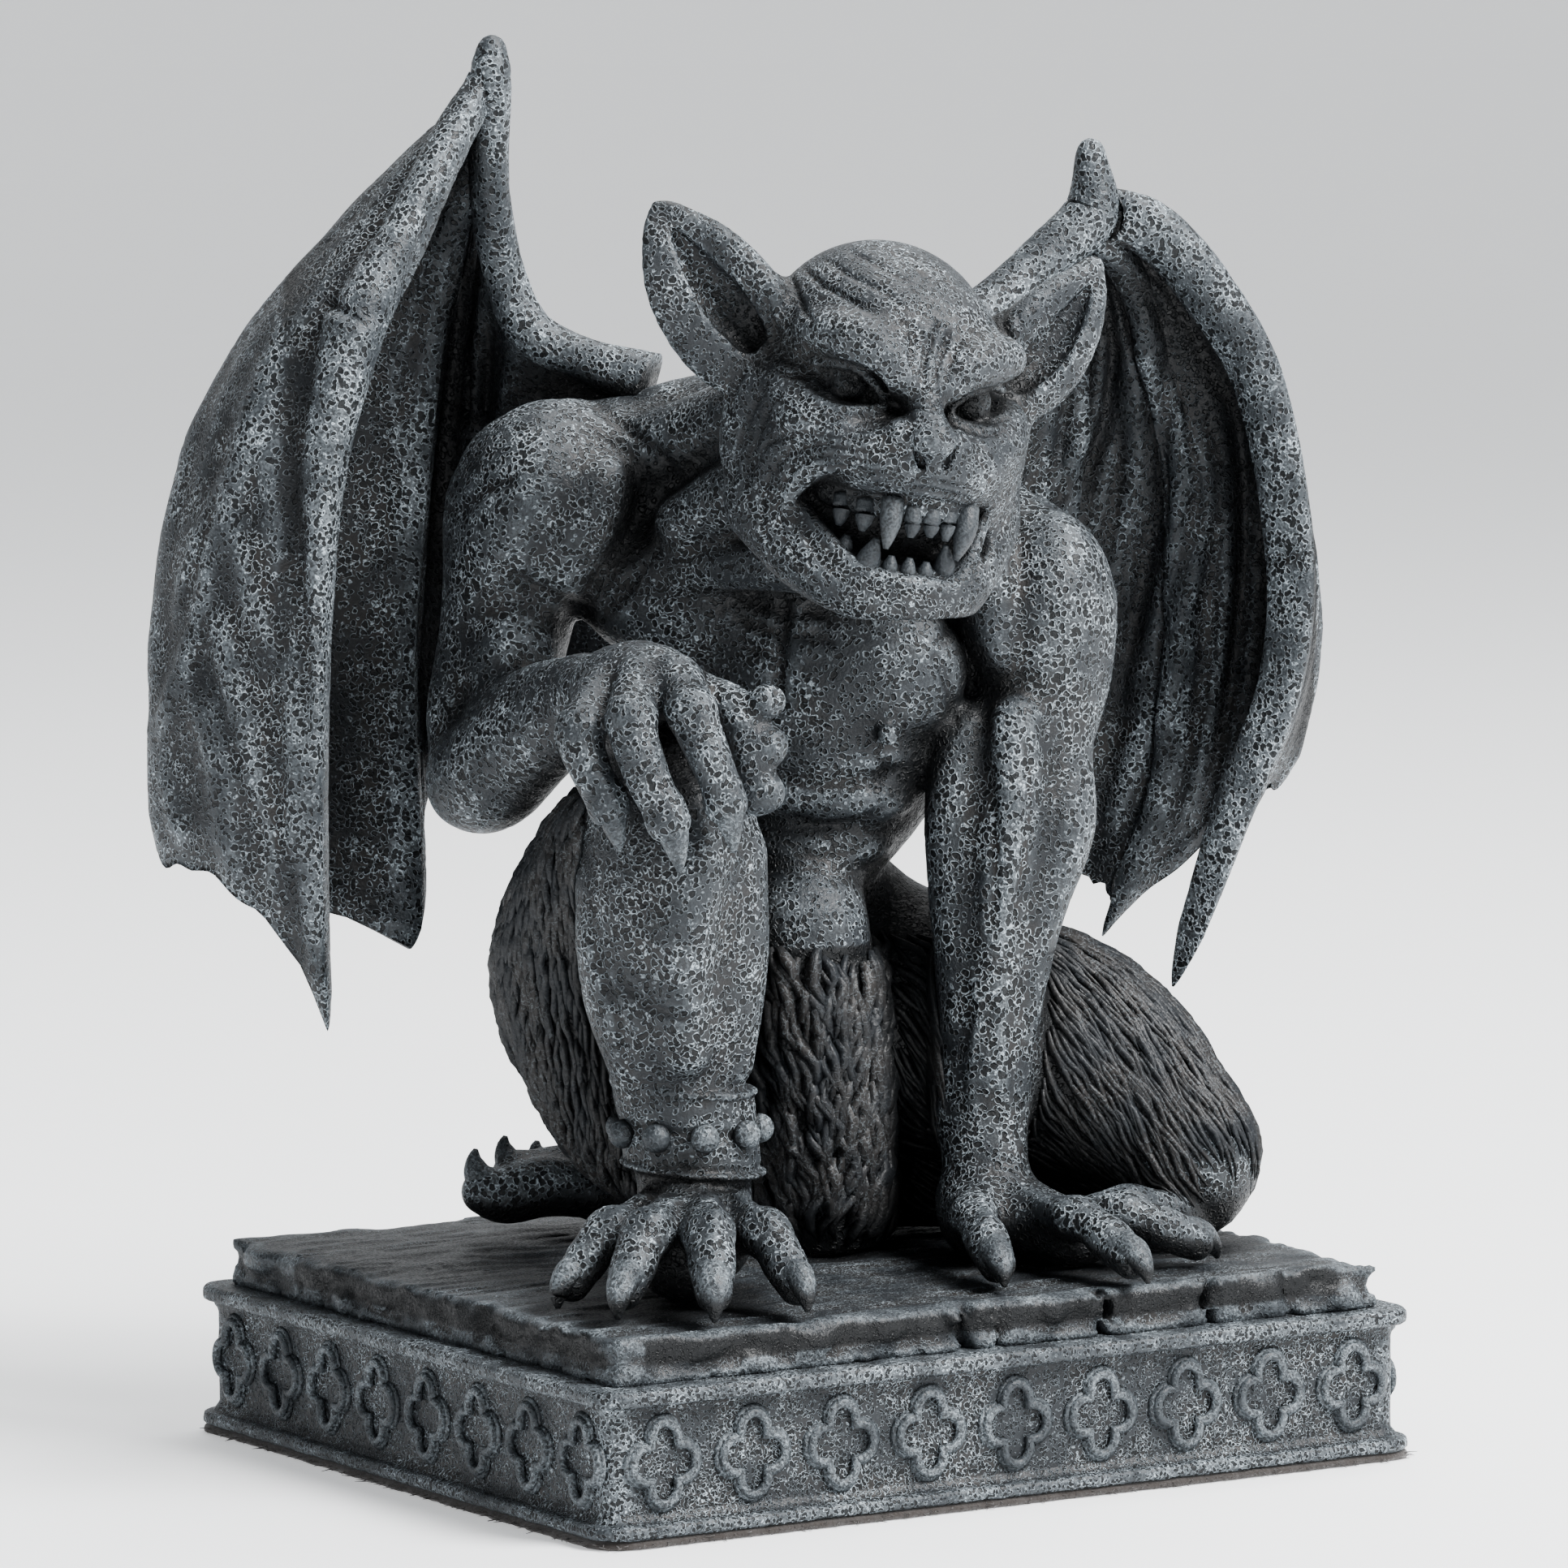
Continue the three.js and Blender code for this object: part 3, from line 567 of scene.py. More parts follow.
def torso_forms():
    """Pelvis, belly, rib cage, chest muscles, humped upper back and a neck that reaches forward."""
    return [
        Limb(
            (1, 21, 44, 14),
            (1, 20, 58, 18),
            (-1, 14, 71, 13.5),
            (-1.5, 12, 79, 12.5),
            (0.5, 10, 86, 15.5),
            (3, 8, 94, 18),
            (2, 8, 104, 20),
            (-1, 9, 114, 18),
            (-2, 9, 124, 13),
            flat=0.85,
            blend=4,
        ),
        Mass((-3, 10, 121), (28, 14, 19), (0, 13, 0), blend=5),
        Mass((-14, -1, 112), (14.5, 7.2, 9.5), (0, 8, 0), blend=2.5),
        Mass((9.5, -2.4, 103), (13, 7, 10.5), (0, 12, 0), blend=2),
        Mass((3.5, -1.6, 92.5), (12.5, 5.6, 3.6), (0, 6, 0), blend=1.8),
        Mass((3, -1.2, 86), (12, 5.6, 3.5), (0, 6, 0), blend=1.8),
        Mass((2, 1.5, 79.5), (10.5, 6, 3.6), (0, 2, 0), blend=1.8),
        Mass((12, -8.6, 94.5), (1.5, 1.3, 1.4), blend=1.2),
        Limb((-2, 8, 128, 12.5), (3, -5, 133, 12), (9, -18, 138, 11), blend=5),
        Limb((-20, 2, 130, 5), (-10, -4, 134, 5.5), (-2, -12, 138, 5), blend=3),
        Limb((-14, -6, 122, 4.2), (-6, -12, 127, 4.6), (0, -18, 130, 4), blend=2.5),
        Limb((-16, -5, 116, 3), (-6, -10, 117, 3.4), (4, -12, 116, 3), blend=2.5),
        Mass((21, 8, 101), (6, 6.5, 15), blend=4),
        Limb((16, -1, 118, 5), (12, -9, 122, 5), (10, -16, 126, 5), blend=4),
    ] + [
        Limb((-3 + 0.4 * i, -6.5, 113 - 3.4 * i, 1.5), (0.5 + 0.4 * i, -7.4, 112 - 3.4 * i, 1.7), blend=1.2)
        for i in range(4)
    ]


def back_forms():
    """Shoulder blades and the knobs of the spine, on the side that the picture doesn't show."""
    blades = [
        Limb((side * 8 - 3, 17, 126, 5), (side * 12 - 3, 18, 117, 5.4), (side * 9 - 2, 18, 107, 4), blend=4)
        for side in (-1, 1)
    ]
    spine = [Mass((-1.5, 23.4 - 0.045 * i * i, 133 - 6 * i), (3, 2.2, 2.4), blend=2.2) for i in range(13)]
    return blades + spine


def right_arm_forms():
    return [
        Limb((-25, 8, 128, 9), (-33, 4, 125, 11.6), (-36.5, 2.5, 115, 9.4), (-38, 2, 105, 8), blend=3.5),
        Mass((-34.5, -0.5, 123), (8, 9.5, 12.5), (0, 16, 0), blend=2.2),
        Mass((-28.5, -3.8, 120.5), (5.5, 5.6, 11.5), (0, 28, 0), blend=1.8),
        Limb((-38, 3, 108, 7.4), (-40.5, 2, 98, 7.6), (-41, -1, 89, 6.6), blend=2),
        Mass((-36.8, -3.4, 103), (6, 6.6, 10.5), (-6, 10, 0), blend=1.6),
        Limb((-42, -1, 87.5, 6), (-40, -6, 89.5, 7.6), (-36, -12, 93.5, 7.2), (-30, -21, 98, 5.6), blend=2),
        Limb((-38, -8, 97, 4.4), (-33, -16, 100.6, 4.2), (-27, -25, 103, 3.8), blend=2),
        Limb((-30, -20, 98, 5.6), (-25, -28, 101.6, 5.1), blend=2),
    ]


def right_hand_forms():
    """The hand hangs over the knee: a domed back, four fingers with a cuff of skin at each claw."""
    back = [
        Limb((-26, -27, 101.5, 5.4), (-20, -36, 105, 6.2), (-15.5, -43, 103.5, 5), flat=0.72, across=(0, 0, 1)),
        Mass((-23, -37, 101.5), (5, 6, 5), blend=3),
    ]
    fingers = [
        ((-24.5, -41, 103.5, 3), (-27, -47.5, 98.8, 3), (-25.4, -50, 93.6, 2.6), (-23.5, -50.6, 90.2, 2.3)),
        ((-19.5, -43, 105, 3.1), (-20.6, -50.5, 100.4, 3.1), (-18.5, -52.8, 93.6, 2.8), (-16.1, -53.2, 88.8, 2.5)),
        ((-15, -43.5, 105.5, 3), (-13, -50, 101.2, 3), (-10.5, -52.2, 95.4, 2.7), (-8.9, -52.3, 90.8, 2.4)),
        ((-12, -41, 103, 2.8), (-7.6, -45, 101.3, 2.9), (-5.7, -46.6, 96, 2.8), (-5.2, -47, 90.5, 2.4)),
    ]
    forms = [Limb(*stations, blend=1.4) for stations in fingers]
    for stations in fingers[:3]:
        x, y, z, r = stations[-1]
        forms.append(Limb((x - 0.3, y, z + 1.2, r + 0.1), (x, y - 0.1, z - 0.4, r + 0.45), blend=0.7))
        knuckle = stations[1]
        forms.append(Mass(np.add(knuckle[:3], (0, -0.6, 0.8)), (3.1, 3, 2.9), blend=1.2))
    thumb_knobs = [
        Mass((-3.6, -46.6, 102.6), (2.4, 2.2, 2.2), blend=1.2),
        Mass((-3.4, -47, 97), (2.5, 2.3, 2.6), blend=1.2),
        Mass((-3.7, -47.6, 91.2), (2.4, 2.2, 2.4), blend=1.2),
    ]
    return back + forms + thumb_knobs


def left_arm_forms():
    return [
        Limb((26, 10, 118, 8.4), (32, 7, 112, 9.8), (33, 5, 102, 8.6), (30.5, 4, 92, 8), blend=3),
        Mass((33, 2.6, 109), (8.2, 8.6, 13.5), (0, 6, 0), blend=2),
        Mass((25.6, -0.5, 112), (4.6, 6, 12), (0, -10, 0), blend=1.6),
        Limb((31, 4, 97, 7.8), (28.5, 1.5, 87, 8.3), (26.5, -1, 77, 7.6), (25.4, -2.6, 64, 6.4), blend=2),
        Limb((25.4, -2.6, 64, 6.4), (24.8, -4, 52, 6.4), (24.3, -6, 41, 5.7), (25, -8, 33, 5.6), blend=2),
        Limb((35, 1, 92, 3.6), (34.4, -1, 82, 4.8), (31, -3, 71, 4.2), (28, -5.6, 56, 3), blend=1.6),
        Limb((22, -1, 94, 4), (21.4, -2.4, 84, 4.6), (21.5, -3.6, 72, 4.2), (22, -5.6, 56, 3), blend=1.6),
        Limb((28.6, -4, 96, 3.4), (28, -6.4, 84, 3.6), (26.4, -7.2, 70, 3.2), (25, -9, 50, 2.4), blend=1.6),
        Mass((20.6, -5, 44), (2.4, 3, 3.6), blend=1.6),
    ]


def left_hand_forms():
    """The hand stands on the slab, its fingers spread, each with a knuckle and a cuff of skin at its claw. The raised
    cords above the wrist are made with the left arm.
    """
    palm = [
        Limb((24.5, -6, 34, 6.2), (29, -11, 31.5, 7), (35, -15, 29.5, 6), flat=0.66, across=(0, 0, 1)),
        Mass((23.5, -10, 31.5), (5, 7, 5.4), blend=3),
    ]
    fingers = [
        ((23.5, -9, 33, 3.2), (22.6, -20, 33.2, 2.5), (24, -27.5, 31.4, 2.5), (25.4, -33, 28.8, 1.8)),
        ((30, -15, 32.5, 2.8), (36, -23, 33.2, 2.6), (40, -28, 31.2, 2.5), (42.6, -31.6, 29, 1.8)),
        ((35, -15, 31.8, 2.6), (42, -18.5, 33, 2.6), (47.5, -18.6, 31, 2.4), (51.4, -16.6, 29, 1.8)),
        ((35, -11, 31, 2.6), (43, -9, 32.6, 2.6), (49, -4, 31, 2.4), (52, 0.4, 29, 1.8)),
    ]
    knuckles = [Mass(f[1][:3], (3, 3, 2.7), blend=1.4) for f in fingers]
    cuffs = [Limb(f[2][:3] + (2.6,), f[3][:3] + (2.2,), blend=0.6) for f in fingers]
    palm = palm + knuckles + cuffs
    return palm + [Limb(*stations, blend=1.6) for stations in fingers]


def right_leg_forms():
    return [
        Limb((-8, 17, 60, 15), (-18, 8, 58, 18.5), (-23.2, -6, 64, 16), (-20.5, -22, 76, 14), (-16, -34, 86, 10.5), blend=4),
        Limb((-20, -24, 78, 10), (-24, -16, 60, 12), (-21.5, -18, 48, 10), (-17, -25, 41, 6), blend=4),
        Limb((-15.5, -36, 91, 9.2), (-15.6, -38, 84, 10.4), (-16.3, -37.4, 75, 10.8), (-16, -35.5, 64, 10), blend=2.5),
        Limb((-16, -35.5, 64, 10), (-15.4, -34, 55, 8.6), (-13.6, -33, 43, 7.4), (-13, -35, 34, 7.2), blend=3),
        Limb((-13.5, -44, 88, 4.6), (-13.6, -47, 80, 4.2), (-14.6, -46.4, 70, 3.6), (-14, -43.5, 58, 2.6), blend=2.4),
        Limb((-24, -38, 78, 3.6), (-23.4, -39, 68, 4.2), (-20.4, -37.6, 56, 3), blend=2.4),
        Limb((-7.6, -38, 82, 3.8), (-7.8, -38.6, 70, 4.2), (-8.6, -37, 56, 3), blend=2.4),
        Limb((-12.8, -30, 32, 6.5), (-14, -38, 34, 7.2), (-14.5, -45, 32.5, 6.4), blend=2),
    ]


RIGHT_TOES = [
    ((-17.5, -40, 34, 3.2), (-23.5, -45.6, 35.4, 2.9), (-26.8, -48.6, 32.2, 2.6), (-28.6, -50.2, 29.4, 1.9)),
    ((-15.6, -43, 35, 3.2), (-19, -51.4, 36, 3.1), (-20.8, -56, 32.4, 2.8), (-21.9, -58.6, 29.6, 2)),
    ((-12, -43.5, 35, 3.2), (-11.4, -52.6, 36.2, 3.2), (-10.9, -58.6, 32.8, 2.9), (-10.7, -61.8, 29.8, 2)),
    ((-9.4, -41, 34.4, 3.2), (-4.4, -47.6, 35.4, 3), (-1.8, -52, 32, 2.7), (-0.3, -54.4, 29.4, 1.9)),
]


def right_foot_forms():
    """The foot, with bent toes, each with a round joint and a cuff of skin round its claw, and cords
    over its back to the toes. The studded anklet is made by anklet_forms and beads."""
    toes = [Limb(*stations, blend=1.4) for stations in RIGHT_TOES]
    joints = [Mass(np.add(t[1][:3], (0, -0.6, 0.1)), (3.3, 3.2, 3.1), blend=1.2) for t in RIGHT_TOES]
    cuffs = [Limb(t[2][:3] + (2.75,), t[3][:3] + (2.3,), blend=0.6) for t in RIGHT_TOES]
    cords = [Limb((-13.6 + 0.2 * i, -36, 40, 2), (t[0][0] * 0.6 + t[1][0] * 0.4, t[1][1] + 5, 37.4, 2), t[1][:3] + (1.6,), blend=1.2)
             for i, t in enumerate(RIGHT_TOES)]
    return toes + joints + cuffs + cords


ANKLET = {"at": (-14, -33.5, 47), "radius": 8.9, "height": 12, "rim": 0.8, "tilt": (0, 5, 0)}


def anklet_forms():
    """A cuff with a rolled rim above and below, as stacked rings round the shin."""
    x, y, z = ANKLET["at"]
    r, half = ANKLET["radius"], ANKLET["height"] / 2
    heights = ((-half + 0.8, 0.7, 1.1), (half - 0.8, 0.7, 1.1))
    rims = [
        Mass((x - 0.6 * dz / half, y + 0.2, z + dz), (r + out, r + out, tall), ANKLET["tilt"], blend=0.5)
        for dz, out, tall in heights
    ]
    band = [
        Mass((x - 0.6 * dz / half, y + 0.2, z + dz), (r, r, 3.2), ANKLET["tilt"], blend=1.2)
        for dz in (-half + 2.4, -1.6, 1.6, half - 2.4)
    ]
    return band + rims


def left_leg_forms():
    return [
        Limb((6, 20, 58, 15), (17, 15, 54, 17), (35, 12, 49, 15.5), (46, 8, 42, 11.5), (51, 6, 37, 9), blend=4),
        Mass((50.5, 5, 36.5), (9.6, 9.4, 10.2), blend=3),
        Limb((50, 8, 33, 7), (36, 16, 34, 9), (18, 20, 33, 8), (0, 20, 31, 5.6), blend=3),
        Limb((0, 20, 31, 6), (-12, 18, 31, 6), (-24, 17, 31, 5.6), blend=3),
        Limb((-24, 14, 31, 3.4), (-33, 12.5, 32.6, 4), (-38.5, 11.6, 31.6, 3.9), (-41.6, 11.5, 32, 3), blend=1.6),
        Limb((-24, 19, 31, 3.4), (-30, 17.5, 33.4, 3.9), (-35, 16.6, 33, 3.9), (-37.6, 16.5, 34, 3), blend=1.6),
        Limb((-22, 22, 31, 3.4), (-28, 24, 32.6, 3.8), (-32, 24.4, 32, 3.6), blend=1.6),
    ]


def apron_forms():
    """The fur that hangs from the belly between the legs, and the rump."""
    return [
        Limb((1, 4, 76, 7), (1, -1, 68, 8.6), (1.4, -1, 58, 9.4), (2, 0, 46, 10), (2, 2, 31, 10), blend=3),
        Mass((0, -4.2, 70), (7, 5, 5), blend=3),
        Mass((2, 26, 50), (21, 13, 20), blend=5),
    ]


EARS = {
    "right": {
        "blade": [(-11, 1, 1, 6.5), (-19, 2, 3.5, 8.4), (-26, 3, 8, 6.6), (-30.6, 3.5, 13.4, 3.4), (-32, 4, 17, 1.3)],
        "hollow": [(-18.5, -0.6, 3.2, 2.6), (-22.4, 0, 6.4, 3.2), (-26.6, 1.2, 10.4, 2.2), (-29.6, 2.2, 14, 0.8)],
        "rim": [(-13.6, -1.4, 4, 2), (-17.6, -1.2, 9.6, 1.9), (-24, 1, 14.4, 1.7), (-30.4, 3, 16.8, 1.1)],
        "lean": (-0.3, 1, 0.1),
    },
    "left": {
        "blade": [(13, 0, 1.5, 5.5), (17.6, 1, 4.4, 7.2), (21.8, 1.8, 9, 5.8), (24.8, 2.6, 14.4, 3.3), (26, 3.5, 18.6, 1.3)],
        "hollow": [(17.6, -1.6, 3.4, 2.2), (20.4, -0.8, 7, 2.6), (23, 0.4, 11.4, 1.8), (24.8, 1.6, 15.4, 0.7)],
        "rim": [(13.6, -1.8, 4, 2), (15.6, -1.2, 9.4, 1.9), (19.6, 0.6, 14, 1.6), (25, 2.8, 18, 1)],
        "lean": (0.3, 1, 0.1),
    },
}


def ear_forms(ear):
    """A pointed ear: a flattened blade with a thick rim and a hollow that faces forward."""
    return [
        Limb(*ear["blade"], flat=0.34, across=ear["lean"], blend=1.6),
        Limb(*ear["hollow"], flat=0.6, across=ear["lean"], blend=1.2, cut=True),
        Limb(*ear["rim"], blend=1.6),
    ]


def head_forms():
    """The head in its own frame: +X its left, -Y its face. The muzzle and jaw lean to its left."""
    skull = [
        Mass((-1, 1.5, 3.2), (15, 15.5, 14.4), blend=2),
        Mass((1, -7, 6), (11, 8, 7.5), blend=4),
        Limb((-14, 0, -4, 5.6), (-14.4, 0, -11, 5.2), (-12, -4, -18, 4.6), blend=3),
        Limb((15.4, 0, -4, 5), (15.6, 0, -11, 4.8), (14.4, -3, -18, 4.4), blend=3),
        Mass((1.5, -5, -14), (13, 9, 12), blend=3),
        Mass((2.4, -11.5, -8.4), (12, 9.4, 6.6), blend=2.5),
        Mass((-10.6, -6, -8.5), (5, 6.4, 8), blend=2.5),
        Mass((14.4, -6, -8.5), (3.6, 6, 8), blend=2),
    ]
    jaw = [
        Limb(
            (-13, -2, -18, 5),
            (-8.6, -9.5, -22.8, 4.4),
            (-3.2, -14, -25.4, 3.7),
            (3, -16.2, -26.2, 3.6),
            (9, -15, -25.4, 3.6),
            (13, -9, -20.5, 4.4),
            (15.5, -2, -16, 5),
            blend=2.5,
        ),
        Mass((2.6, -7, -22), (10.5, 8, 6.5), blend=3),
    ]
    mouth = [
        Limb((-8.2, -10, -15.4, 2.6), (-4.6, -14, -17.4, 4), (1, -17, -17.8, 4.9), (6.4, -17, -17.8, 4.8), (10.8, -13, -16.8, 3.6), flat=1, blend=1.2, cut=True),
        Mass((1.6, -19, -17.6), (10.6, 8, 4.9), (0, 4, 0), blend=1.2, cut=True),
    ]
    lips = [
        Limb(
            (-11, -7.4, -14.8, 1),
            (-9.8, -10.2, -12.6, 1.2),
            (-5.6, -14.6, -12.2, 1.3),
            (-1, -17.9, -11.6, 1.3),
            (4.6, -19.4, -11.3, 1.4),
            (9.4, -17.4, -12, 1.3),
            (12.6, -12.6, -13.2, 1.2),
            blend=0.9,
        ),
        Limb(
            (-11, -7.4, -14.8, 1),
            (-9.8, -9.8, -17.2, 1.1),
            (-7.2, -13, -20, 1.2),
            (-3.8, -15.8, -22.6, 1.2),
            (0.6, -17.8, -23.5, 1.3),
            (4.6, -18.2, -23.4, 1.3),
            (8.8, -16.8, -23.2, 1.2),
            (11.6, -13.4, -19.6, 1.1),
            (12.8, -11.6, -15, 1.1),
            blend=0.9,
        ),
    ]
    gums = [
        Limb((-7, -9, -14, 1.8), (-3, -13, -14.4, 2), (1, -15.6, -13.9, 2), (5, -16.4, -13.8, 2), (9.4, -14, -13.9, 1.9), blend=1),
        Limb((-6, -9.4, -20.4, 1.9), (-2.6, -13.2, -22.6, 2), (1.6, -15.4, -23.4, 2), (5.4, -15.6, -23.4, 2), (9, -13, -21.6, 1.9), blend=1),
    ]
    nose = [
        Limb((1, -14.5, 3, 2.6), (1.2, -17, -1.4, 2.3), (1.8, -19.6, -4.2, 2.6), blend=1.8),
        Mass((2, -20.4, -4.9), (2.9, 2.5, 2.2), blend=1.2),
        Mass((-1.7, -18, -5), (2, 2.3, 2.2), blend=1),
        Mass((5.5, -18, -5.3), (2, 2.3, 2.2), blend=1),
        Limb((2.2, -20.2, -5.6, 1.3), (2.9, -19.6, -9.2, 1.1), blend=0.9),
        Limb((0.1, -20.4, -5.4, 0.8), (1.2, -20, -8, 0.75), blend=0.5, cut=True),
        Limb((4.5, -20.4, -5.7, 0.75), (4, -20, -7.8, 0.7), blend=0.5, cut=True),
    ]
    features = []
    for side, shift in ((-1, 0.4), (1, 1.2)):
        def at(x, y, z, *rest):
            return (side * x + shift, y, z) + rest

        features += [
            Limb(at(13.2, -7, 5.6, 1.6), at(10.6, -11, 6, 2.9), at(6.4, -13.9, 4.9, 3.4), at(2.9, -15.4, 2.3, 2.7), blend=2),
            Mass(at(8, -14, -0.4), (4.4, 3, 2.4), (0, side * 20, 0), blend=1.4, cut=True),
            Limb(at(4, -15.6, -1.6, 1.2), at(3.6, -16.4, -2.6, 0.9), blend=0.8, cut=True),
            Mass(at(7.6, -9.8, -0.3), (2.9, 2.9, 2.8), blend=0.2),
            Limb(at(12, -8.8, 1.9, 0.6), at(9.4, -12, 2.4, 0.7), at(6.2, -13.6, 1.2, 0.7), at(4.2, -14.4, -0.8, 0.5), blend=0.7),
            Limb(at(12.2, -9.4, -1.8, 1), at(9.4, -12.8, -3.4, 1.25), at(6, -14.4, -3.1, 1.1), at(4, -15, -2, 0.6), blend=1),
            Limb(at(14, -5.5, -2.6, 3), at(12.4, -10.4, -5.2, 3), at(8.6, -14, -6.6, 2.8), blend=2),
            Limb(at(4.4, -17, -6, 1.4), at(8, -15.4, -8.4, 1.7), at(11.2, -12.2, -11.6, 1.6), at(12.6, -9.4, -15.6, 1.5), at(11.8, -8, -20, 1.3), blend=1.6),
            Limb(at(15, -4, -6, 1.6), at(14.8, -6.4, -11, 1.6), at(14, -6.4, -16, 1.5), blend=1.8),
        ]
    return skull + jaw + features + lips[:1] + mouth + lips + gums + nose


TEETH = {
    "upper fangs": [
        ((-0.7, -16.8, -13.2, 1.5), (-0.8, -18, -16.4, 1.35), (-1, -18.6, -19.4, 0.35)),
        ((9.5, -15.4, -13, 1.6), (9.3, -16.9, -16.2, 1.5), (8.6, -17.7, -19.6, 0.35)),
    ],
    "upper": [
        ((2, -17.3, -13.8, 1.15), (2.1, -17.9, -16, 1.1), (2.1, -18, -17.6, 0.4)),
        ((4.4, -17.5, -13.8, 1.15), (4.5, -18.1, -15.8, 1.1), (4.5, -18.2, -17.2, 0.4)),
        ((6.8, -17, -13.8, 1.05), (6.8, -17.5, -15.8, 1), (6.8, -17.6, -17.4, 0.4)),
        ((-3.4, -14.4, -14, 1.3), (-3.4, -15, -16.4, 1.2), (-3.5, -15.1, -18, 0.4)),
        ((-5.8, -11.8, -14, 1.25), (-5.8, -12.4, -16.4, 1.1), (-5.9, -12.4, -18, 0.4)),
    ],
    "lower fangs": [
        ((-2.3, -15, -23.4, 1.7), (-2.2, -16.2, -21, 1.5), (-1.9, -16.9, -18.4, 0.4)),
        ((7.9, -14.6, -22.8, 1.6), (7.8, -15.7, -20.6, 1.4), (7.4, -16.4, -18, 0.4)),
    ],
    "lower": [
        ((0.5, -16.2, -23.4, 1.05), (0.5, -16.7, -21.6, 1), (0.5, -16.7, -20.3, 0.4)),
        ((2.8, -16.6, -23.4, 1.05), (2.8, -17.1, -21.6, 1), (2.8, -17.1, -20.2, 0.4)),
        ((5.1, -16.4, -23.4, 1.05), (5.1, -16.9, -21.6, 1), (5.1, -16.9, -20.4, 0.4)),
        ((-5, -12.6, -22, 1.2), (-4.8, -13.2, -20.2, 1.1), (-4.8, -13.2, -18.9, 0.4)),
    ],
}


def body_forms():
    """Every form of the body in the figure's frame, in the order in which they are joined and cut."""
    head = head_forms() + ear_forms(EARS["right"]) + ear_forms(EARS["left"])
    matrix = turn_matrix(*HEAD_TURN, order="zyx")
    return (
        torso_forms()
        + back_forms()
        + right_arm_forms()
        + left_arm_forms()
        + right_leg_forms()
        + left_leg_forms()
        + apron_forms()
        + right_foot_forms()
        + anklet_forms()
        + left_hand_forms()
        + right_hand_forms()
        + [form.placed(matrix, np.array(HEAD_AT)) for form in head]
    )


# Regions of the body, each its own piece with its own fineness: (name, lowest corner, highest corner, step).
# A region leaves out the ones listed before it, less the overlap.
OVERLAP = 1.2
REGIONS = [
    ("gargoyle_head", (-27, -54, 112), (47, -7, 165), 0.44),
    ("gargoyle_right_hand", (-33, -58, 58), (3, -24, 112), 0.54),
    ("gargoyle_right_foot", (-36, -68, 25), (8, -22, 59.4), 0.52),
    ("gargoyle_left_hand", (14, -40, 25), (60, 7, 66), 0.58),
    ("gargoyle_torso", (-54, -28, 64.6), (46, 36, 145), 0.72),
    ("gargoyle_legs", (-50, -32, 25), (64, 44, 66), 0.74),
]
ALL_LOW, ALL_HIGH = (-66, -70, 20), (70, 50, 186)


class Surroundings:
    """A coarse grid of how full the space is, blurred, from which each point reads how enclosed it is, as painted
    shade.
    """

    def __init__(self, forms, extra_points, step=2.0):
        clay = Clay(ALL_LOW, ALL_HIGH, step)
        for form in forms:
            clay.add(form)
        full = (clay.field < 0).astype(np.float32)
        cells = np.round((extra_points - clay.low) / step).astype(int)
        cells = np.clip(cells, 0, np.array(full.shape) - 1)
        full[tuple(cells.T)] = 1
        full[:, :, : int((SLAB_TOP - ALL_LOW[2]) / step) + 1] = 1
        for _ in range(3):
            for axis in range(3):
                full = self.blurred(full, axis)
        clay.field = full
        self.clay = clay

    @staticmethod
    def blurred(full, axis, reach=2):
        """The running mean along an axis over the reach to each side."""
        pad = [(0, 0)] * 3
        pad[axis] = (reach + 1, reach)
        total = np.cumsum(np.pad(full, pad, mode="edge"), axis=axis)
        size = full.shape[axis]
        high, low = [slice(None)] * 3, [slice(None)] * 3
        high[axis] = slice(2 * reach + 1, 2 * reach + 1 + size)
        low[axis] = slice(0, size)
        return (total[tuple(high)] - total[tuple(low)]) / (2 * reach + 1)

    def recess(self, points, normals, away=3.0):
        """0 in the open and 1 deep in a hollow: the fullness a little above the surface, which the finish paints as
        shade.
        """
        inside = ((points > self.clay.low) & (points < self.clay.high)).all(1)
        full = np.where(inside, self.clay.at(points + away * normals), 0.2)
        return np.clip((full - 0.22) / 0.45, 0, 1)


def finish_values(vertices, quads, surroundings, pitted=1.0, seed=0):
    """The numbers that the finish reads at each vertex: how it stands out, how enclosed it is, which sets
    the painted shade, and how pitted it is."""
    normals = faces_normals(vertices, quads)
    stands = edges_standing(vertices, quads, normals)
    pits = np.full(len(vertices), 1.0) * pitted
    return {
        "stands_out": np.clip(0.5 + 2.2 * stands, 0, 1),
        "recess": surroundings.recess(vertices, normals),
        "pitted": pits,
    }


def weathered(vertices, quads, height=0.12, size=1.6, seed=3):
    """Moves vertices along their normals by low lumps and dents, as the casting has all over."""
    normals = faces_normals(vertices, quads)
    dents, _ = cobbles(vertices, size, seed)
    lumps = rough(vertices, 3 * size, 2, seed)
    move = height * (0.5 * lumps - 1.2 * np.clip(0.42 - dents, 0, 1) / 0.42)
    return vertices + normals * move[:, None]


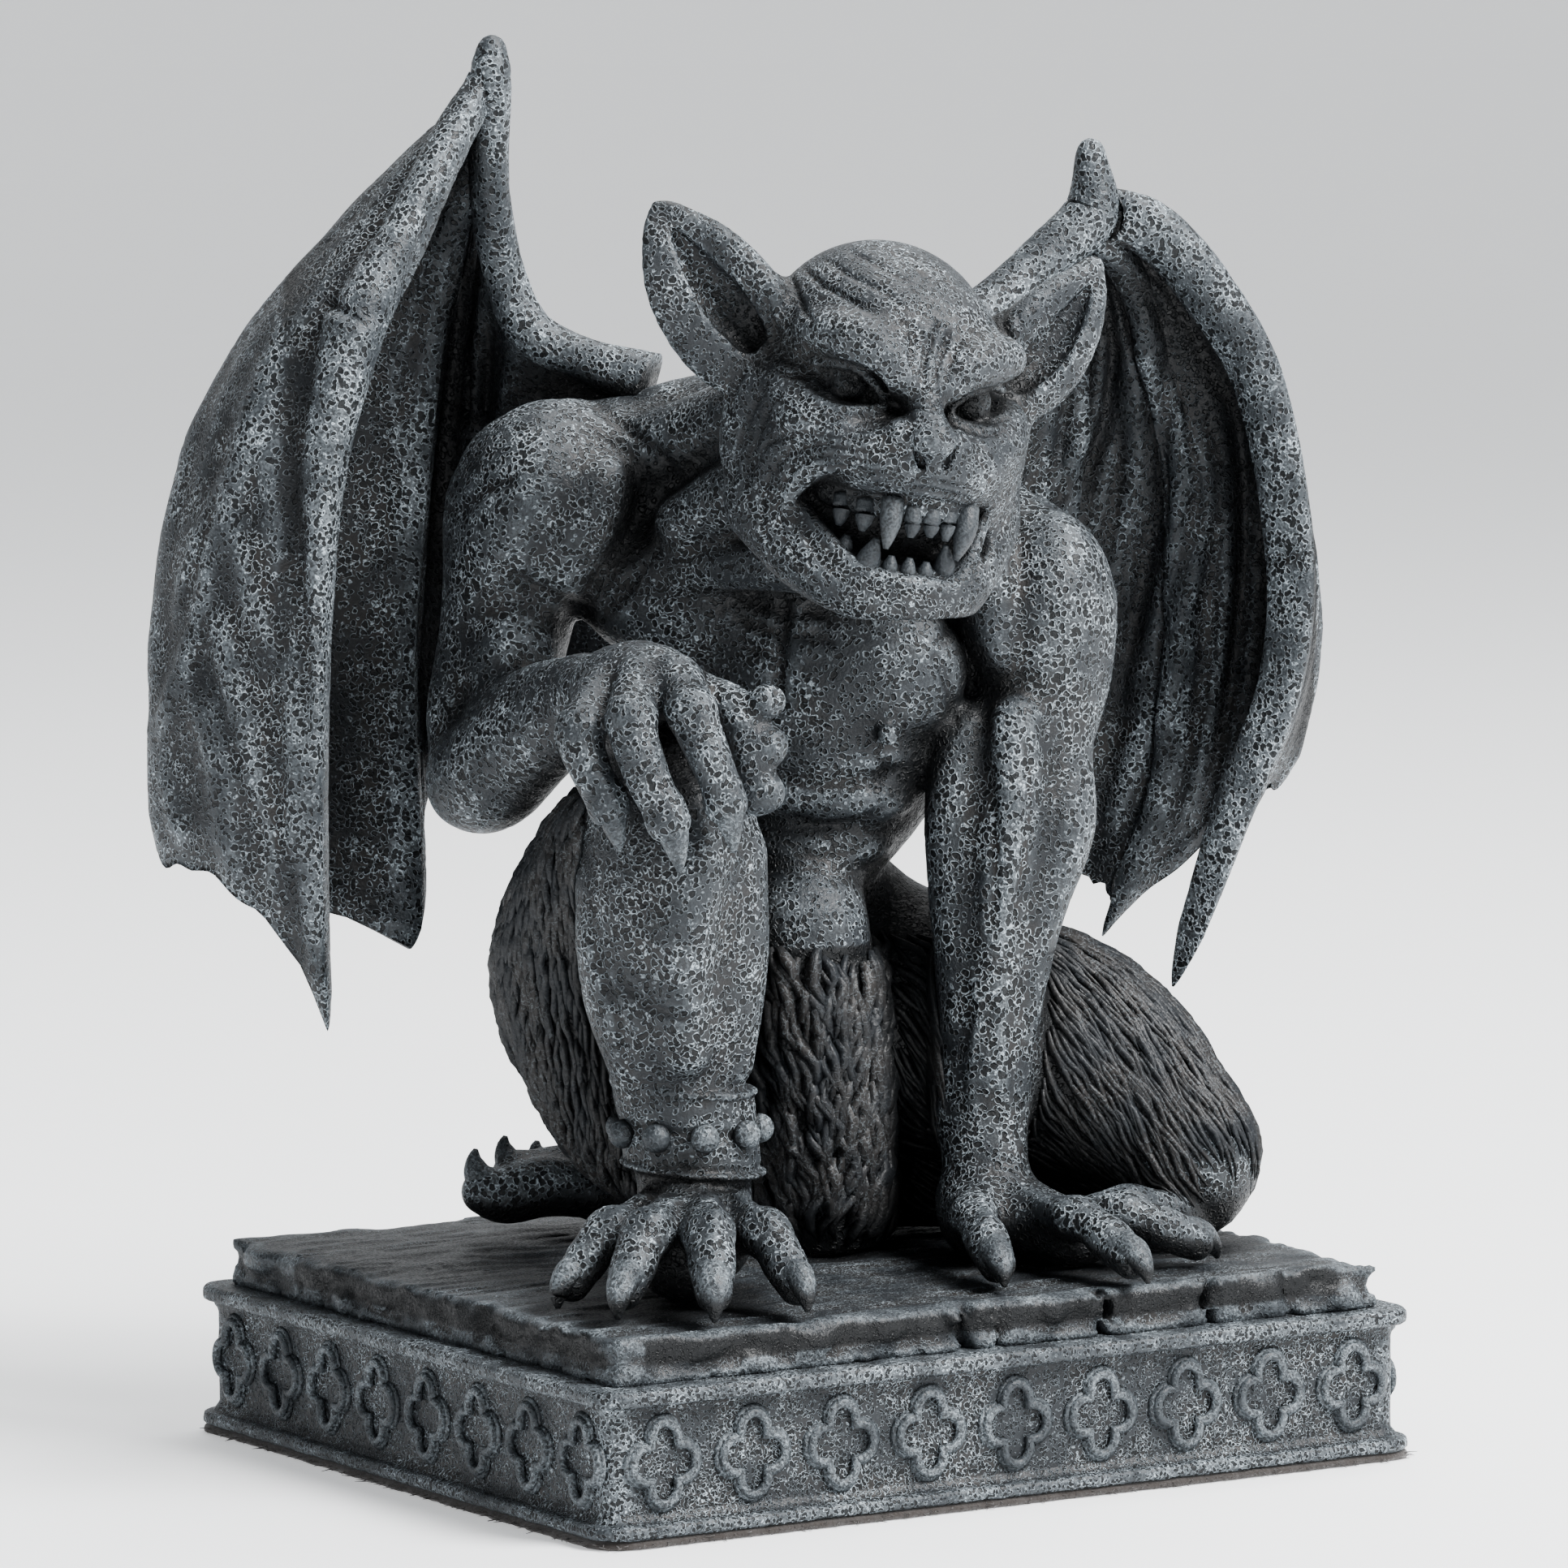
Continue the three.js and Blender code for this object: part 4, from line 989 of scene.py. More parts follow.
def region_skin(forms, region):
    """The skin of one region: the forms' field on the region's own grid, cut to its box and by the
    boxes of the regions before it, then its surface, settled on the field and sunk a little at the cuts,
    and how far each vertex is from a cut."""
    name, low, high, step = region
    pad = 3 * step
    clay = Clay(np.array(low) - pad, np.array(high) + pad, step)
    for form in forms:
        clay.add(form)
    for other, other_low, other_high, _ in REGIONS:
        if other == name:
            break
        clay.leave_box(np.array(other_low) + OVERLAP, np.array(other_high) - OVERLAP)
    clay.keep_box(low, high)
    clay.keep_box((-200, -200, SOLE), (200, 200, 200))
    vertices, quads = skin(clay)
    vertices = settle(clay, vertices)
    inland = np.minimum(vertices - low, np.array(high) - vertices).min(1)
    for other, other_low, other_high, _ in REGIONS:
        if other == name:
            break
        outside = np.maximum(np.array(other_low) + OVERLAP - vertices, vertices - np.array(other_high) + OVERLAP)
        inland = np.minimum(inland, np.abs(outside.max(1)))
    sunk = 0.22 * np.clip(1 - inland / 0.7, 0, 1)
    return vertices - faces_normals(vertices, quads) * sunk[:, None], quads, inland


# Strokes on the head and body, in pixels of the picture

FACE_STROKES = [
    Strokes(-0.45, 4.5, [(962, 322), (976, 345), (990, 380), (1004, 398)], [(984, 322), (1010, 348), (1046, 368), (1084, 388)]),
    Strokes(-0.3, 4.5, [(1010, 314), (1045, 338), (1090, 360), (1118, 384)], [(1040, 306), (1080, 326), (1128, 352)]),
    Strokes(-0.25, 4.5, [(1075, 302), (1120, 322), (1150, 352)], [(1110, 308), (1150, 328), (1180, 360)]),
    Strokes(-0.5, 4.5, [(1137, 474), (1140, 440), (1156, 396)], [(1150, 476), (1156, 446), (1172, 404)]),
    Strokes(-0.4, 4.5, [(1163, 474), (1172, 446), (1186, 414)], [(1128, 462), (1122, 436), (1128, 400)]),
    Strokes(-0.4, 4.2, [(1118, 486), (1140, 482), (1164, 488)], [(1112, 496), (1138, 492), (1166, 498)], [(1108, 507), (1136, 502), (1166, 508)]),
    Strokes(0.35, 6, [(984, 476), (1008, 494), (1036, 505), (1078, 504)], plain=True),
    Strokes(-0.35, 4.2, [(985, 462), (1010, 482), (1040, 495), (1078, 493)], [(990, 436), (1020, 444), (1052, 450), (1084, 464)]),
    Strokes(-0.28, 4.2, [(960, 440), (985, 448), (1000, 442)], [(955, 455), (980, 464), (998, 458)], [(1096, 520), (1060, 530), (1020, 526), (975, 505), (948, 480)]),
    Strokes(-0.35, 4.2, [(1100, 552), (1060, 556), (1010, 548), (970, 560), (946, 596), (940, 640), (952, 688)]),
    Strokes(-0.35, 4.2, [(1104, 566), (1066, 568), (1016, 562), (982, 574), (962, 604), (960, 640), (974, 682)]),
    Strokes(-0.3, 4.2, [(1110, 580), (1072, 582), (1030, 574), (996, 582), (978, 606)], [(1100, 540), (1050, 540), (1000, 534), (950, 544), (926, 582), (920, 630)]),
    Strokes(-0.28, 4.2, [(946, 470), (928, 505), (912, 550), (902, 600)], [(920, 445), (906, 480), (896, 520)], [(962, 480), (944, 512), (928, 560), (916, 606)]),
    Strokes(-0.28, 4.2, [(1120, 590), (1150, 592), (1200, 604)], [(1112, 600), (1150, 604), (1206, 618)]),
    Strokes(-0.28, 4.2, [(1200, 560), (1216, 580), (1222, 610)], [(1196, 530), (1216, 536), (1240, 530)], [(1200, 516), (1222, 520), (1246, 514)]),
    Strokes(-0.3, 4.5, [(988, 650), (1004, 680), (1028, 706), (1062, 728)], [(972, 664), (988, 698), (1012, 724)]),
    Strokes(-0.3, 4.5, [(1240, 372), (1236, 400), (1250, 424)], [(1228, 366), (1222, 398), (1230, 420)], [(1252, 384), (1262, 410), (1270, 440)]),
    Strokes(-0.35, 4.5, [(940, 350), (950, 392), (964, 420)], [(924, 352), (934, 398), (948, 432)]),
    Strokes(-0.3, 3.6, [(1044, 463), (1049, 456), (1057, 456), (1062, 464), (1057, 471), (1049, 470), (1044, 463)], fade=0.01),
    Strokes(-0.4, 4, [(1050, 463), (1056, 464)], [(1220, 502), (1226, 503)], fade=0.01),
    Strokes(-0.25, 3.6, [(1214, 501), (1219, 495), (1227, 496), (1230, 503), (1224, 508), (1216, 507), (1214, 501)], fade=0.01),
]

BODY_STROKES = [
    Strokes(-0.9, 10, [(970, 700), (966, 760), (960, 830), (958, 880)]),
    Strokes(-0.55, 8, [(900, 728), (930, 740), (962, 752)], [(905, 760), (934, 772), (962, 782)], [(912, 792), (936, 802), (960, 812)]),
    Strokes(-0.5, 8, [(975, 756), (1000, 752), (1030, 762)], [(975, 786), (1002, 784), (1030, 796)]),
    Strokes(-0.7, 11, [(605, 690), (650, 720), (700, 742), (738, 760)], [(735, 770), (770, 730), (810, 690), (830, 650)]),
    Strokes(-0.6, 10, [(700, 470), (760, 520), (812, 560), (850, 620)], [(560, 640), (600, 600), (640, 590)]),
    Strokes(-0.5, 9, [(1150, 800), (1170, 850), (1178, 910)], [(1196, 700), (1180, 750), (1160, 800)]),
    Strokes(-0.5, 9, [(1218, 930), (1224, 1000), (1226, 1080), (1222, 1160)], [(1262, 900), (1270, 980), (1262, 1070), (1246, 1160)]),
    Strokes(0.35, 7, [(1200, 1190), (1206, 1250), (1196, 1320), (1204, 1390)], [(1236, 1200), (1232, 1280), (1240, 1380)], plain=True),
    Strokes(-0.5, 8, [(950, 948), (1000, 966), (1070, 960), (1130, 940)], [(960, 1000), (1010, 1018), (1060, 1010), (1110, 985)]),
    Strokes(-0.6, 8, [(975, 1046), (1020, 1056), (1068, 1040)], [(1080, 925), (1090, 950), (1070, 975)]),
    Strokes(0.4, 8, [(1228, 1440), (1270, 1470), (1310, 1500)], [(1216, 1450), (1216, 1490), (1220, 1530)], [(1240, 1430), (1300, 1450), (1370, 1470)], plain=True),
    Strokes(0.4, 8, [(855, 1462), (820, 1490), (790, 1510)], [(885, 1462), (880, 1500), (878, 1540)], [(905, 1462), (930, 1490), (960, 1510)], plain=True),
    Strokes(-0.5, 8, [(755, 1200), (800, 1240), (860, 1260)], [(730, 1130), (740, 1190), (760, 1250), (776, 1330)]),
    Strokes(-0.4, 7, [(790, 1462), (830, 1470), (880, 1466), (930, 1458)]),
]

REGION_STROKES = {
    "gargoyle_head": FACE_STROKES,
}


# Fur


def fur_locks(clay, seeds, flow, length, width, curl, seed, rings=5):
    """Locks of carved fur, all worked out at once. A lock starts on the skin, follows the flow along it
    with a wave to each side, keeps to the skin by Newton's steps, and swells and ends in a point."""
    rng = np.random.default_rng(seed)
    count = len(seeds)
    size = length * rng.uniform(0.7, 1.25, count)
    phase = rng.uniform(0, 2 * np.pi, count)
    bend = curl * rng.uniform(0.5, 1.5, count)
    point = seeds.copy()
    path = []
    for i in range(rings):
        path.append(point)
        slope = clay.slope(point, 0.8)
        normal = slope / np.maximum(np.linalg.norm(slope, axis=1, keepdims=True), 1e-6)
        way = flow(point)
        way = way - normal * (way * normal).sum(1, keepdims=True)
        way /= np.maximum(np.linalg.norm(way, axis=1, keepdims=True), 1e-6)
        aside = np.cross(normal, way)
        wave = bend * np.sin(phase + i * 1.5)
        point = point + (way + aside * wave[:, None]) * (size / (rings - 1))[:, None]
        slope = clay.slope(point, 0.8)
        length2 = np.maximum((slope**2).sum(1), 0.05)
        point = point - slope * (np.clip(clay.at(point), -1.5, 1.5) / length2)[:, None]
    path = np.stack(path, axis=1)
    share = np.linspace(0, 1, rings)
    lift = 0.25 + 0.5 * np.sin(np.pi * np.clip(share * 1.1, 0, 1))
    slope = clay.slope(path.reshape(-1, 3), 0.8).reshape(path.shape)
    normal = slope / np.maximum(np.linalg.norm(slope, axis=2, keepdims=True), 1e-6)
    wide = width * rng.uniform(0.75, 1.25, count)
    path = path + normal * (lift * wide[:, None] * 0.5)[..., None]
    profile = np.interp(share, [0, 0.3, 0.7, 1], [0.5, 1, 0.85, 0.12])
    radii = wide[:, None] / 2 * profile
    return path, radii, normal


def seeds_on(vertices, normals, wanted, spacing, seed):
    """Points picked from the skin's vertices where wanted, no two in the same cell of the spacing."""
    rng = np.random.default_rng(seed)
    chosen = np.nonzero(wanted)[0]
    chosen = rng.permutation(chosen)
    cell = np.floor(vertices[chosen] / spacing + rng.uniform(0, 1, 3)).astype(np.int64)
    key = (cell[:, 0] * 4099 + cell[:, 1]) * 4099 + cell[:, 2]
    _, first = np.unique(key, return_index=True)
    return vertices[chosen[first]]


# Materials


class Nodes:
    """A short way to add shader nodes and link them."""

    def __init__(self, name):
        self.material = bpy.data.materials.new(name)
        self.material.use_nodes = True
        self.tree = self.material.node_tree
        self.shader = self.tree.nodes["Principled BSDF"]

    def add(self, kind, settings=(), **inputs):
        node = self.tree.nodes.new(kind)
        for key, value in dict(settings).items():
            setattr(node, key, value)
        for key, value in inputs.items():
            self.put(node, key.replace("_", " ") if not key.startswith("i") else int(key[1:]), value)
        return node

    def put(self, node, socket, value):
        if isinstance(value, bpy.types.NodeSocket):
            self.tree.links.new(value, node.inputs[socket])
        else:
            node.inputs[socket].default_value = value

    def math(self, operation, a, b=0.0, clamp=False):
        node = self.add("ShaderNodeMath", {"operation": operation, "use_clamp": clamp}, i0=a, i1=b)
        return node.outputs[0]

    def ramp(self, value, start, end, low=0.0, high=1.0):
        node = self.add("ShaderNodeMapRange", {"interpolation_type": "SMOOTHSTEP"}, i0=value, i1=start, i2=end)
        self.put(node, 3, low)
        self.put(node, 4, high)
        return node.outputs[0]

    def mix(self, share, a, b, blend="MIX"):
        node = self.add("ShaderNodeMix", {"data_type": "RGBA", "blend_type": blend})
        self.put(node, 0, share)
        self.put(node, 6, a)
        self.put(node, 7, b)
        return node.outputs[2]

    def value(self, name):
        return self.add("ShaderNodeAttribute", {"attribute_name": name}).outputs["Fac"]

    def noise(self, vector, scale, detail=2.0, kind="Fac"):
        node = self.add("ShaderNodeTexNoise", Vector=vector, Scale=scale, Detail=detail)
        return node.outputs[kind]

    def cells(self, vector, scale, feature="F1"):
        return self.add("ShaderNodeTexVoronoi", {"feature": feature}, Vector=vector, Scale=scale)


def stone_material(name, finish, pit_size=1.0, pit_depth=1.0):
    """Cast resin, pitted and dry brushed. The pits are spheres round scattered points that the surface
    cuts at any height. Their rims, and what stands out, take the pale brushing; pits keep the dark wash.
    Hollows, and places where other parts come close, take painted shade: near black, which stands also
    for the wash that settles there."""
    n = Nodes(name)
    place = n.add("ShaderNodeTexCoord").outputs["Object"]
    place = n.add("ShaderNodeMapping", Vector=place, Scale=(1000, 1000, 1000)).outputs[0]
    bent = n.noise(place, 0.8, 1.0, "Color")
    bent = n.add("ShaderNodeVectorMath", {"operation": "SCALE"}, Vector=bent, Scale=1.1).outputs[0]
    bent = n.add("ShaderNodeVectorMath", {"operation": "ADD"}, i0=place, i1=bent).outputs[0]
    pitted = n.value("pitted")
    stands = n.value("stands_out")
    recess = n.value("recess")
    patches = n.noise(place, 0.16, 2.0)
    grain = n.noise(place, 2.6, 2.0)
    cell = n.cells(bent, 1.1 / pit_size)
    pick = n.add("ShaderNodeSeparateColor", Color=cell.outputs["Color"]).outputs[0]
    reach = n.math("ADD", n.ramp(pick, 0.0, 1.0, 0.36, 0.54), n.ramp(patches, 0.3, 0.65, -0.08, 0.03))
    depth = n.math("SUBTRACT", reach, cell.outputs["Distance"])
    pit = n.math("MULTIPLY", n.ramp(depth, -0.02, 0.12), pitted)
    near = n.math("ABSOLUTE", n.math("ADD", depth, 0.06))
    rim = n.math("MULTIPLY", n.ramp(near, 0.1, 0.0), pitted)
    top = n.ramp(stands, 0.5, 0.95)
    brush = n.math("ADD", n.math("MULTIPLY", rim, 1.0), n.math("MULTIPLY", top, 0.22))
    brush = n.math("MULTIPLY", brush, n.ramp(patches, 0.32, 0.68, 0.2, 1.0))
    brush = n.math("MULTIPLY", brush, n.ramp(grain, 0.34, 0.62, 0.15, 1.1))
    # The brushing fades where the painted shade is deep.
    brush = n.math("MULTIPLY", brush, n.ramp(recess, 0.0, 0.5, 1.0, 0.03), clamp=True)
    base = n.mix(n.ramp(patches, 0.35, 0.65), finish["base"], finish["warm"])
    base = n.mix(n.math("MULTIPLY", n.ramp(stands, 0.35, 0.65), 0.4), base, finish["mid"])
    colour = n.mix(brush, base, finish["pale"])
    colour = n.mix(n.math("MULTIPLY", pit, 0.92), colour, finish["dark"])
    # Painted shade: hollows, the skin under the fur and the slab round the figure are darkened towards near black by
    # how enclosed they are.
    colour = n.mix(n.ramp(recess, 0.0, 0.6, 0.0, 0.93), colour, finish["dark"])
    n.put(n.shader, "Base Color", colour)
    n.put(n.shader, "Roughness", n.ramp(grain, 0.3, 0.7, finish["gloss"], finish["gloss"] + 0.22))
    n.put(n.shader, "Specular IOR Level", finish["shine"])
    height = n.math("SUBTRACT", n.math("MULTIPLY", rim, 0.3), pit)
    height = n.math("ADD", height, n.math("MULTIPLY", grain, 0.5))
    bump = n.add("ShaderNodeBump", Height=height, Strength=1.0, Distance=0.0003 * pit_depth)
    n.put(n.shader, "Normal", bump.outputs[0])
    return n.material


def felt_material(colour):
    """Brown felt: short fibres as stretched noise, and a rough, slightly fuzzy face."""
    n = Nodes("felt")
    place = n.add("ShaderNodeTexCoord").outputs["Object"]
    fibres = n.noise(n.add("ShaderNodeMapping", Vector=place, Scale=(2600, 900, 3200)).outputs[0], 1.0, 4.0)
    tufts = n.noise(n.add("ShaderNodeMapping", Vector=place, Scale=(700, 700, 700)).outputs[0], 1.0, 2.0)
    dark = tuple(0.4 * c for c in colour[:3]) + (1.0,)
    n.put(n.shader, "Base Color", n.mix(n.math("MULTIPLY", fibres, tufts), dark, colour))
    n.put(n.shader, "Roughness", n.ramp(tufts, 0.3, 0.7, 0.85, 1.0))
    n.shader.inputs["Sheen Weight"].default_value = 0.3
    bump = n.add("ShaderNodeBump", Height=fibres, Strength=0.8, Distance=0.0002)
    n.put(n.shader, "Normal", bump.outputs[0])
    return n.material


# Wings: an arm from the shoulder blade to the wrist, three fingers that fan down from it, and the
# membrane, which hangs in panels from each finger to the next one and the last to a free edge.

WINGS = {
    "right": {
        "arm": [
            (-19, 11, 139, 4.4),
            (-27, 13, 142, 3.1),
            (-34.5, 14, 146, 3),
            (-38, 13.5, 154, 2.8),
            (-39.6, 10, 166, 2.7),
        ],
        "wrist": (-39.2, 6.5, 179, 2.7),
        "thumb": (-39, 6, 183, 2),
        "fingers": [
            [
                (-44.6, 0, 170, 3),
                (-50, -6, 159, 3.6),
                (-55.8, -12, 148, 4.3),
                (-59, -15, 134, 3.7),
                (-61.2, -16, 105, 3.7),
                (-61.7, -15, 80, 3.4),
                (-61, -12, 57, 2.2),
            ],
            [
                (-42.5, 13, 165, 2),
                (-48, 22, 140, 2.4),
                (-52, 26, 105, 2.4),
                (-51.5, 22, 76, 2.8),
                (-51.4, 20, 63.5, 2.5),
            ],
            [(-40, 16, 160, 2), (-42, 27, 138, 2.1), (-44, 31, 108, 2.2), (-47, 26, 84, 2.1)],
        ],
        "edge": [(-21, 26, 127), (-21, 30, 113), (-24, 31, 97)],
        "bulges": [[(-29, 2, 0), (-42, -4, 0)], [(-1, 5, 0), (2, 5, 0)]],
        "hem": [(0, 1), (0.03, 0.95), (0.1, 0.9), (0.25, 0.865), (0.45, 0.84), (0.6, 0.82), (0.8, 0.84), (0.93, 0.92)]
        + [(1, 1), (1.07, 0.92), (1.3, 0.84), (1.6, 0.84), (1.93, 0.92), (2, 1), (2.1, 0.94), (2.5, 0.9), (3, 1)],
        "outwards": -1,
    },
    "left": {
        "arm": [(20, 13, 144, 4), (27, 17, 149.5, 3.3), (34, 21, 155.5, 3.3)],
        "wrist": (39.5, 24, 160.5, 3.8),
        "thumb": (39.6, 24, 168.6, 2),
        "fingers": [
            [
                (47, 25.5, 158.5, 3.8),
                (54.5, 27, 150.5, 3.8),
                (62, 28, 137, 3.6),
                (66, 28, 114, 3.5),
                (64.5, 27, 97, 3.2),
                (58, 26, 80, 2.9),
                (50.5, 28, 57, 1.6),
            ],
            [
                (46, 34, 148, 2.3),
                (51.5, 43, 125, 2.4),
                (52, 46, 100, 2.4),
                (49, 44, 78, 2.2),
                (41.5, 42, 62, 1.9),
            ],
            [(38.5, 33, 148, 2), (37, 42, 122, 2.1), (34, 42, 97, 2.1), (32, 41, 66, 1.7)],
        ],
        "edge": [(20, 27, 130), (21, 31, 113), (24, 32, 97)],
        "bulges": [[(9, 14, 0), (17, 3, 0)], [(1, 4, 0), (-1, 4, 0)]],
        "hem": [(0, 1), (0.06, 0.9), (0.2, 0.83), (0.5, 0.8), (0.8, 0.84), (0.94, 0.92), (1, 1), (1.06, 0.95)]
        + [(1.5, 0.93), (1.94, 0.96), (2, 1), (2.1, 0.94), (2.5, 0.88), (3, 1)],
        "outwards": 1,
    },
}
PANEL_COLUMNS = (56, 24, 46)
WING_ROWS = 160
MEMBRANE_HALF = 0.95

WING_STROKES = {
    "right": [
        Strokes(0.9, 13, [(345, 425), (318, 487), (290, 591), (262, 690), (240, 780), (205, 880), (175, 920)], plain=True),
        Strokes(0.7, 10, [(284, 610), (300, 690), (330, 770), (356, 855), (366, 981), (350, 1090)], plain=True),
        Strokes(0.6, 10, [(258, 690), (268, 780), (300, 900), (330, 1010), (345, 1110)], plain=True),
        Strokes(0.6, 10, [(236, 775), (236, 850), (262, 950), (280, 1040), (290, 1100)], plain=True),
        Strokes(0.5, 9, [(222, 820), (205, 900), (206, 980), (225, 1050)], plain=True),
        Strokes(0.5, 9, [(318, 500), (330, 600), (345, 680), (352, 760)], plain=True),
        Strokes(0.5, 9, [(300, 560), (262, 620), (232, 700), (214, 780)], plain=True),
        Strokes(-0.9, 11, [(366, 430), (358, 500), (356, 568), (366, 680), (374, 820), (372, 980), (376, 1120)]),
        Strokes(-0.5, 8, [(300, 640), (320, 720), (340, 800)], [(280, 720), (300, 800), (330, 880)], [(255, 800), (275, 880), (300, 960)]),
        Strokes(0.8, 9, [(560, 225), (531, 306), (500, 400), (483, 470), (493, 560), (500, 660)], plain=True),
        Strokes(-1.2, 14, [(545, 240), (515, 330), (492, 400)], [(575, 260), (560, 400), (545, 560), (530, 700)]),
        Strokes(-0.9, 8, [(398, 366), (430, 384), (468, 386)]),
        Strokes(0.9, 9, [(396, 392), (430, 404), (466, 404)], plain=True),
        Strokes(0.6, 9, [(450, 1034), (466, 1139), (506, 1196)], [(470, 900), (480, 1000), (505, 1090)], plain=True),
        Strokes(0.6, 12, [(620, 300), (590, 420), (575, 560)], [(650, 380), (625, 470), (600, 600)], plain=True),
    ],
    "left": [
        Strokes(1.0, 13, [(1414, 371), (1400, 471), (1396, 579), (1372, 700), (1340, 830), (1320, 930)], plain=True),
        Strokes(1.0, 13, [(1464, 487), (1486, 600), (1474, 690), (1457, 743), (1450, 830), (1400, 950), (1356, 1060)], plain=True),
        Strokes(0.8, 12, [(1357, 400), (1343, 521), (1300, 590), (1262, 640)], plain=True),
        Strokes(0.9, 12, [(1436, 640), (1421, 829), (1393, 936), (1335, 1050)], plain=True),
        Strokes(0.7, 10, [(1385, 430), (1372, 540), (1350, 650), (1330, 780)], [(1500, 560), (1512, 700), (1500, 840), (1470, 960), (1430, 1060)], plain=True),
        Strokes(-1.1, 12, [(1436, 420), (1436, 540), (1424, 650), (1398, 780), (1366, 900)]),
        Strokes(-1.2, 13, [(1510, 430), (1530, 560), (1534, 680), (1520, 820), (1500, 940), (1470, 1060)]),
        Strokes(-0.8, 10, [(1376, 420), (1360, 520), (1330, 610)], [(1470, 600), (1462, 680), (1440, 760), (1410, 860)]),
        Strokes(-0.7, 6, [(1546, 694), (1580, 688), (1626, 692)]),
        Strokes(0.6, 10, [(1457, 864), (1420, 980), (1370, 1090), (1325, 1150)], [(1330, 300), (1390, 330), (1440, 372)], plain=True),
        Strokes(0.5, 8, [(1404, 600), (1392, 720), (1366, 820)], [(1300, 480), (1290, 560), (1270, 640)], plain=True),
    ],
}


def curve_at(points, share):
    """Points at shares from 0 to 1 of the stations' count along a smooth curve, any number at once."""
    steps = 12
    path = smooth_path(points, steps)
    place = np.linspace(0, 1, len(path))
    flat = np.ravel(share)
    columns = [np.interp(flat, place, path[:, i]) for i in range(path.shape[1])]
    return np.stack(columns, axis=-1).reshape(np.shape(share) + (path.shape[1],))


def hem_share(wing, a):
    """How much of the fingers' length the membrane reaches at across a, with a slightly ragged hem."""
    places, shares = np.array(wing["hem"]).T
    ragged = 0.006 * np.sin(23 * a) + 0.005 * np.sin(51 * a + 1)
    return np.clip(np.interp(a, places, shares) + ragged * np.abs(np.sin(np.pi * a)), 0, 1)


def wing_middle(wing, a, b):
    """The middle surface of a wing at across a, from 0 at the first finger to 3 at the free edge, and
    down b. Panels 0 and 1 are Bezier arcs from finger to finger, that bulge more lower down. Panel 2
    is the arm's line, moved down by the third finger's way at one side and the edge's at the other."""
    wrist = wing["wrist"][:3]
    lines = [[wrist] + [s[:3] for s in finger] for finger in wing["fingers"]]
    out = np.zeros(a.shape + (3,))
    for panel in (0, 1):
        here = (a >= panel) & (a <= panel + 1) if panel else a < 1
        t = np.clip(a - panel, 0, 1)
        down = b * hem_share(wing, a)
        swell = np.sin(np.minimum(1, down / 0.7) * np.pi / 2) ** 1.3
        start, end = curve_at(lines[panel], down), curve_at(lines[panel + 1], down)
        one = start + np.array(wing["bulges"][panel][0]) * swell[..., None]
        two = end + np.array(wing["bulges"][panel][1]) * swell[..., None]
        t = t[..., None]
        arc = start * (1 - t) ** 3 + 3 * one * t * (1 - t) ** 2 + 3 * two * t**2 * (1 - t) + end * t**3
        out = np.where(here[..., None], arc, out)
    t = np.clip(a - 2, 0, 1)
    down = b * hem_share(wing, a)
    arm = [wrist] + [s[:3] for s in wing["arm"][::-1]]
    edge = [wing["arm"][0][:3]] + wing["edge"]
    base = curve_at(arm, t)
    finger = curve_at(lines[2], down) - np.array(wrist)
    fall = curve_at(edge, down) - np.array(edge[0])
    hung = base + finger * (1 - t)[..., None] + fall * t[..., None]
    return np.where((a > 2)[..., None], hung, out)


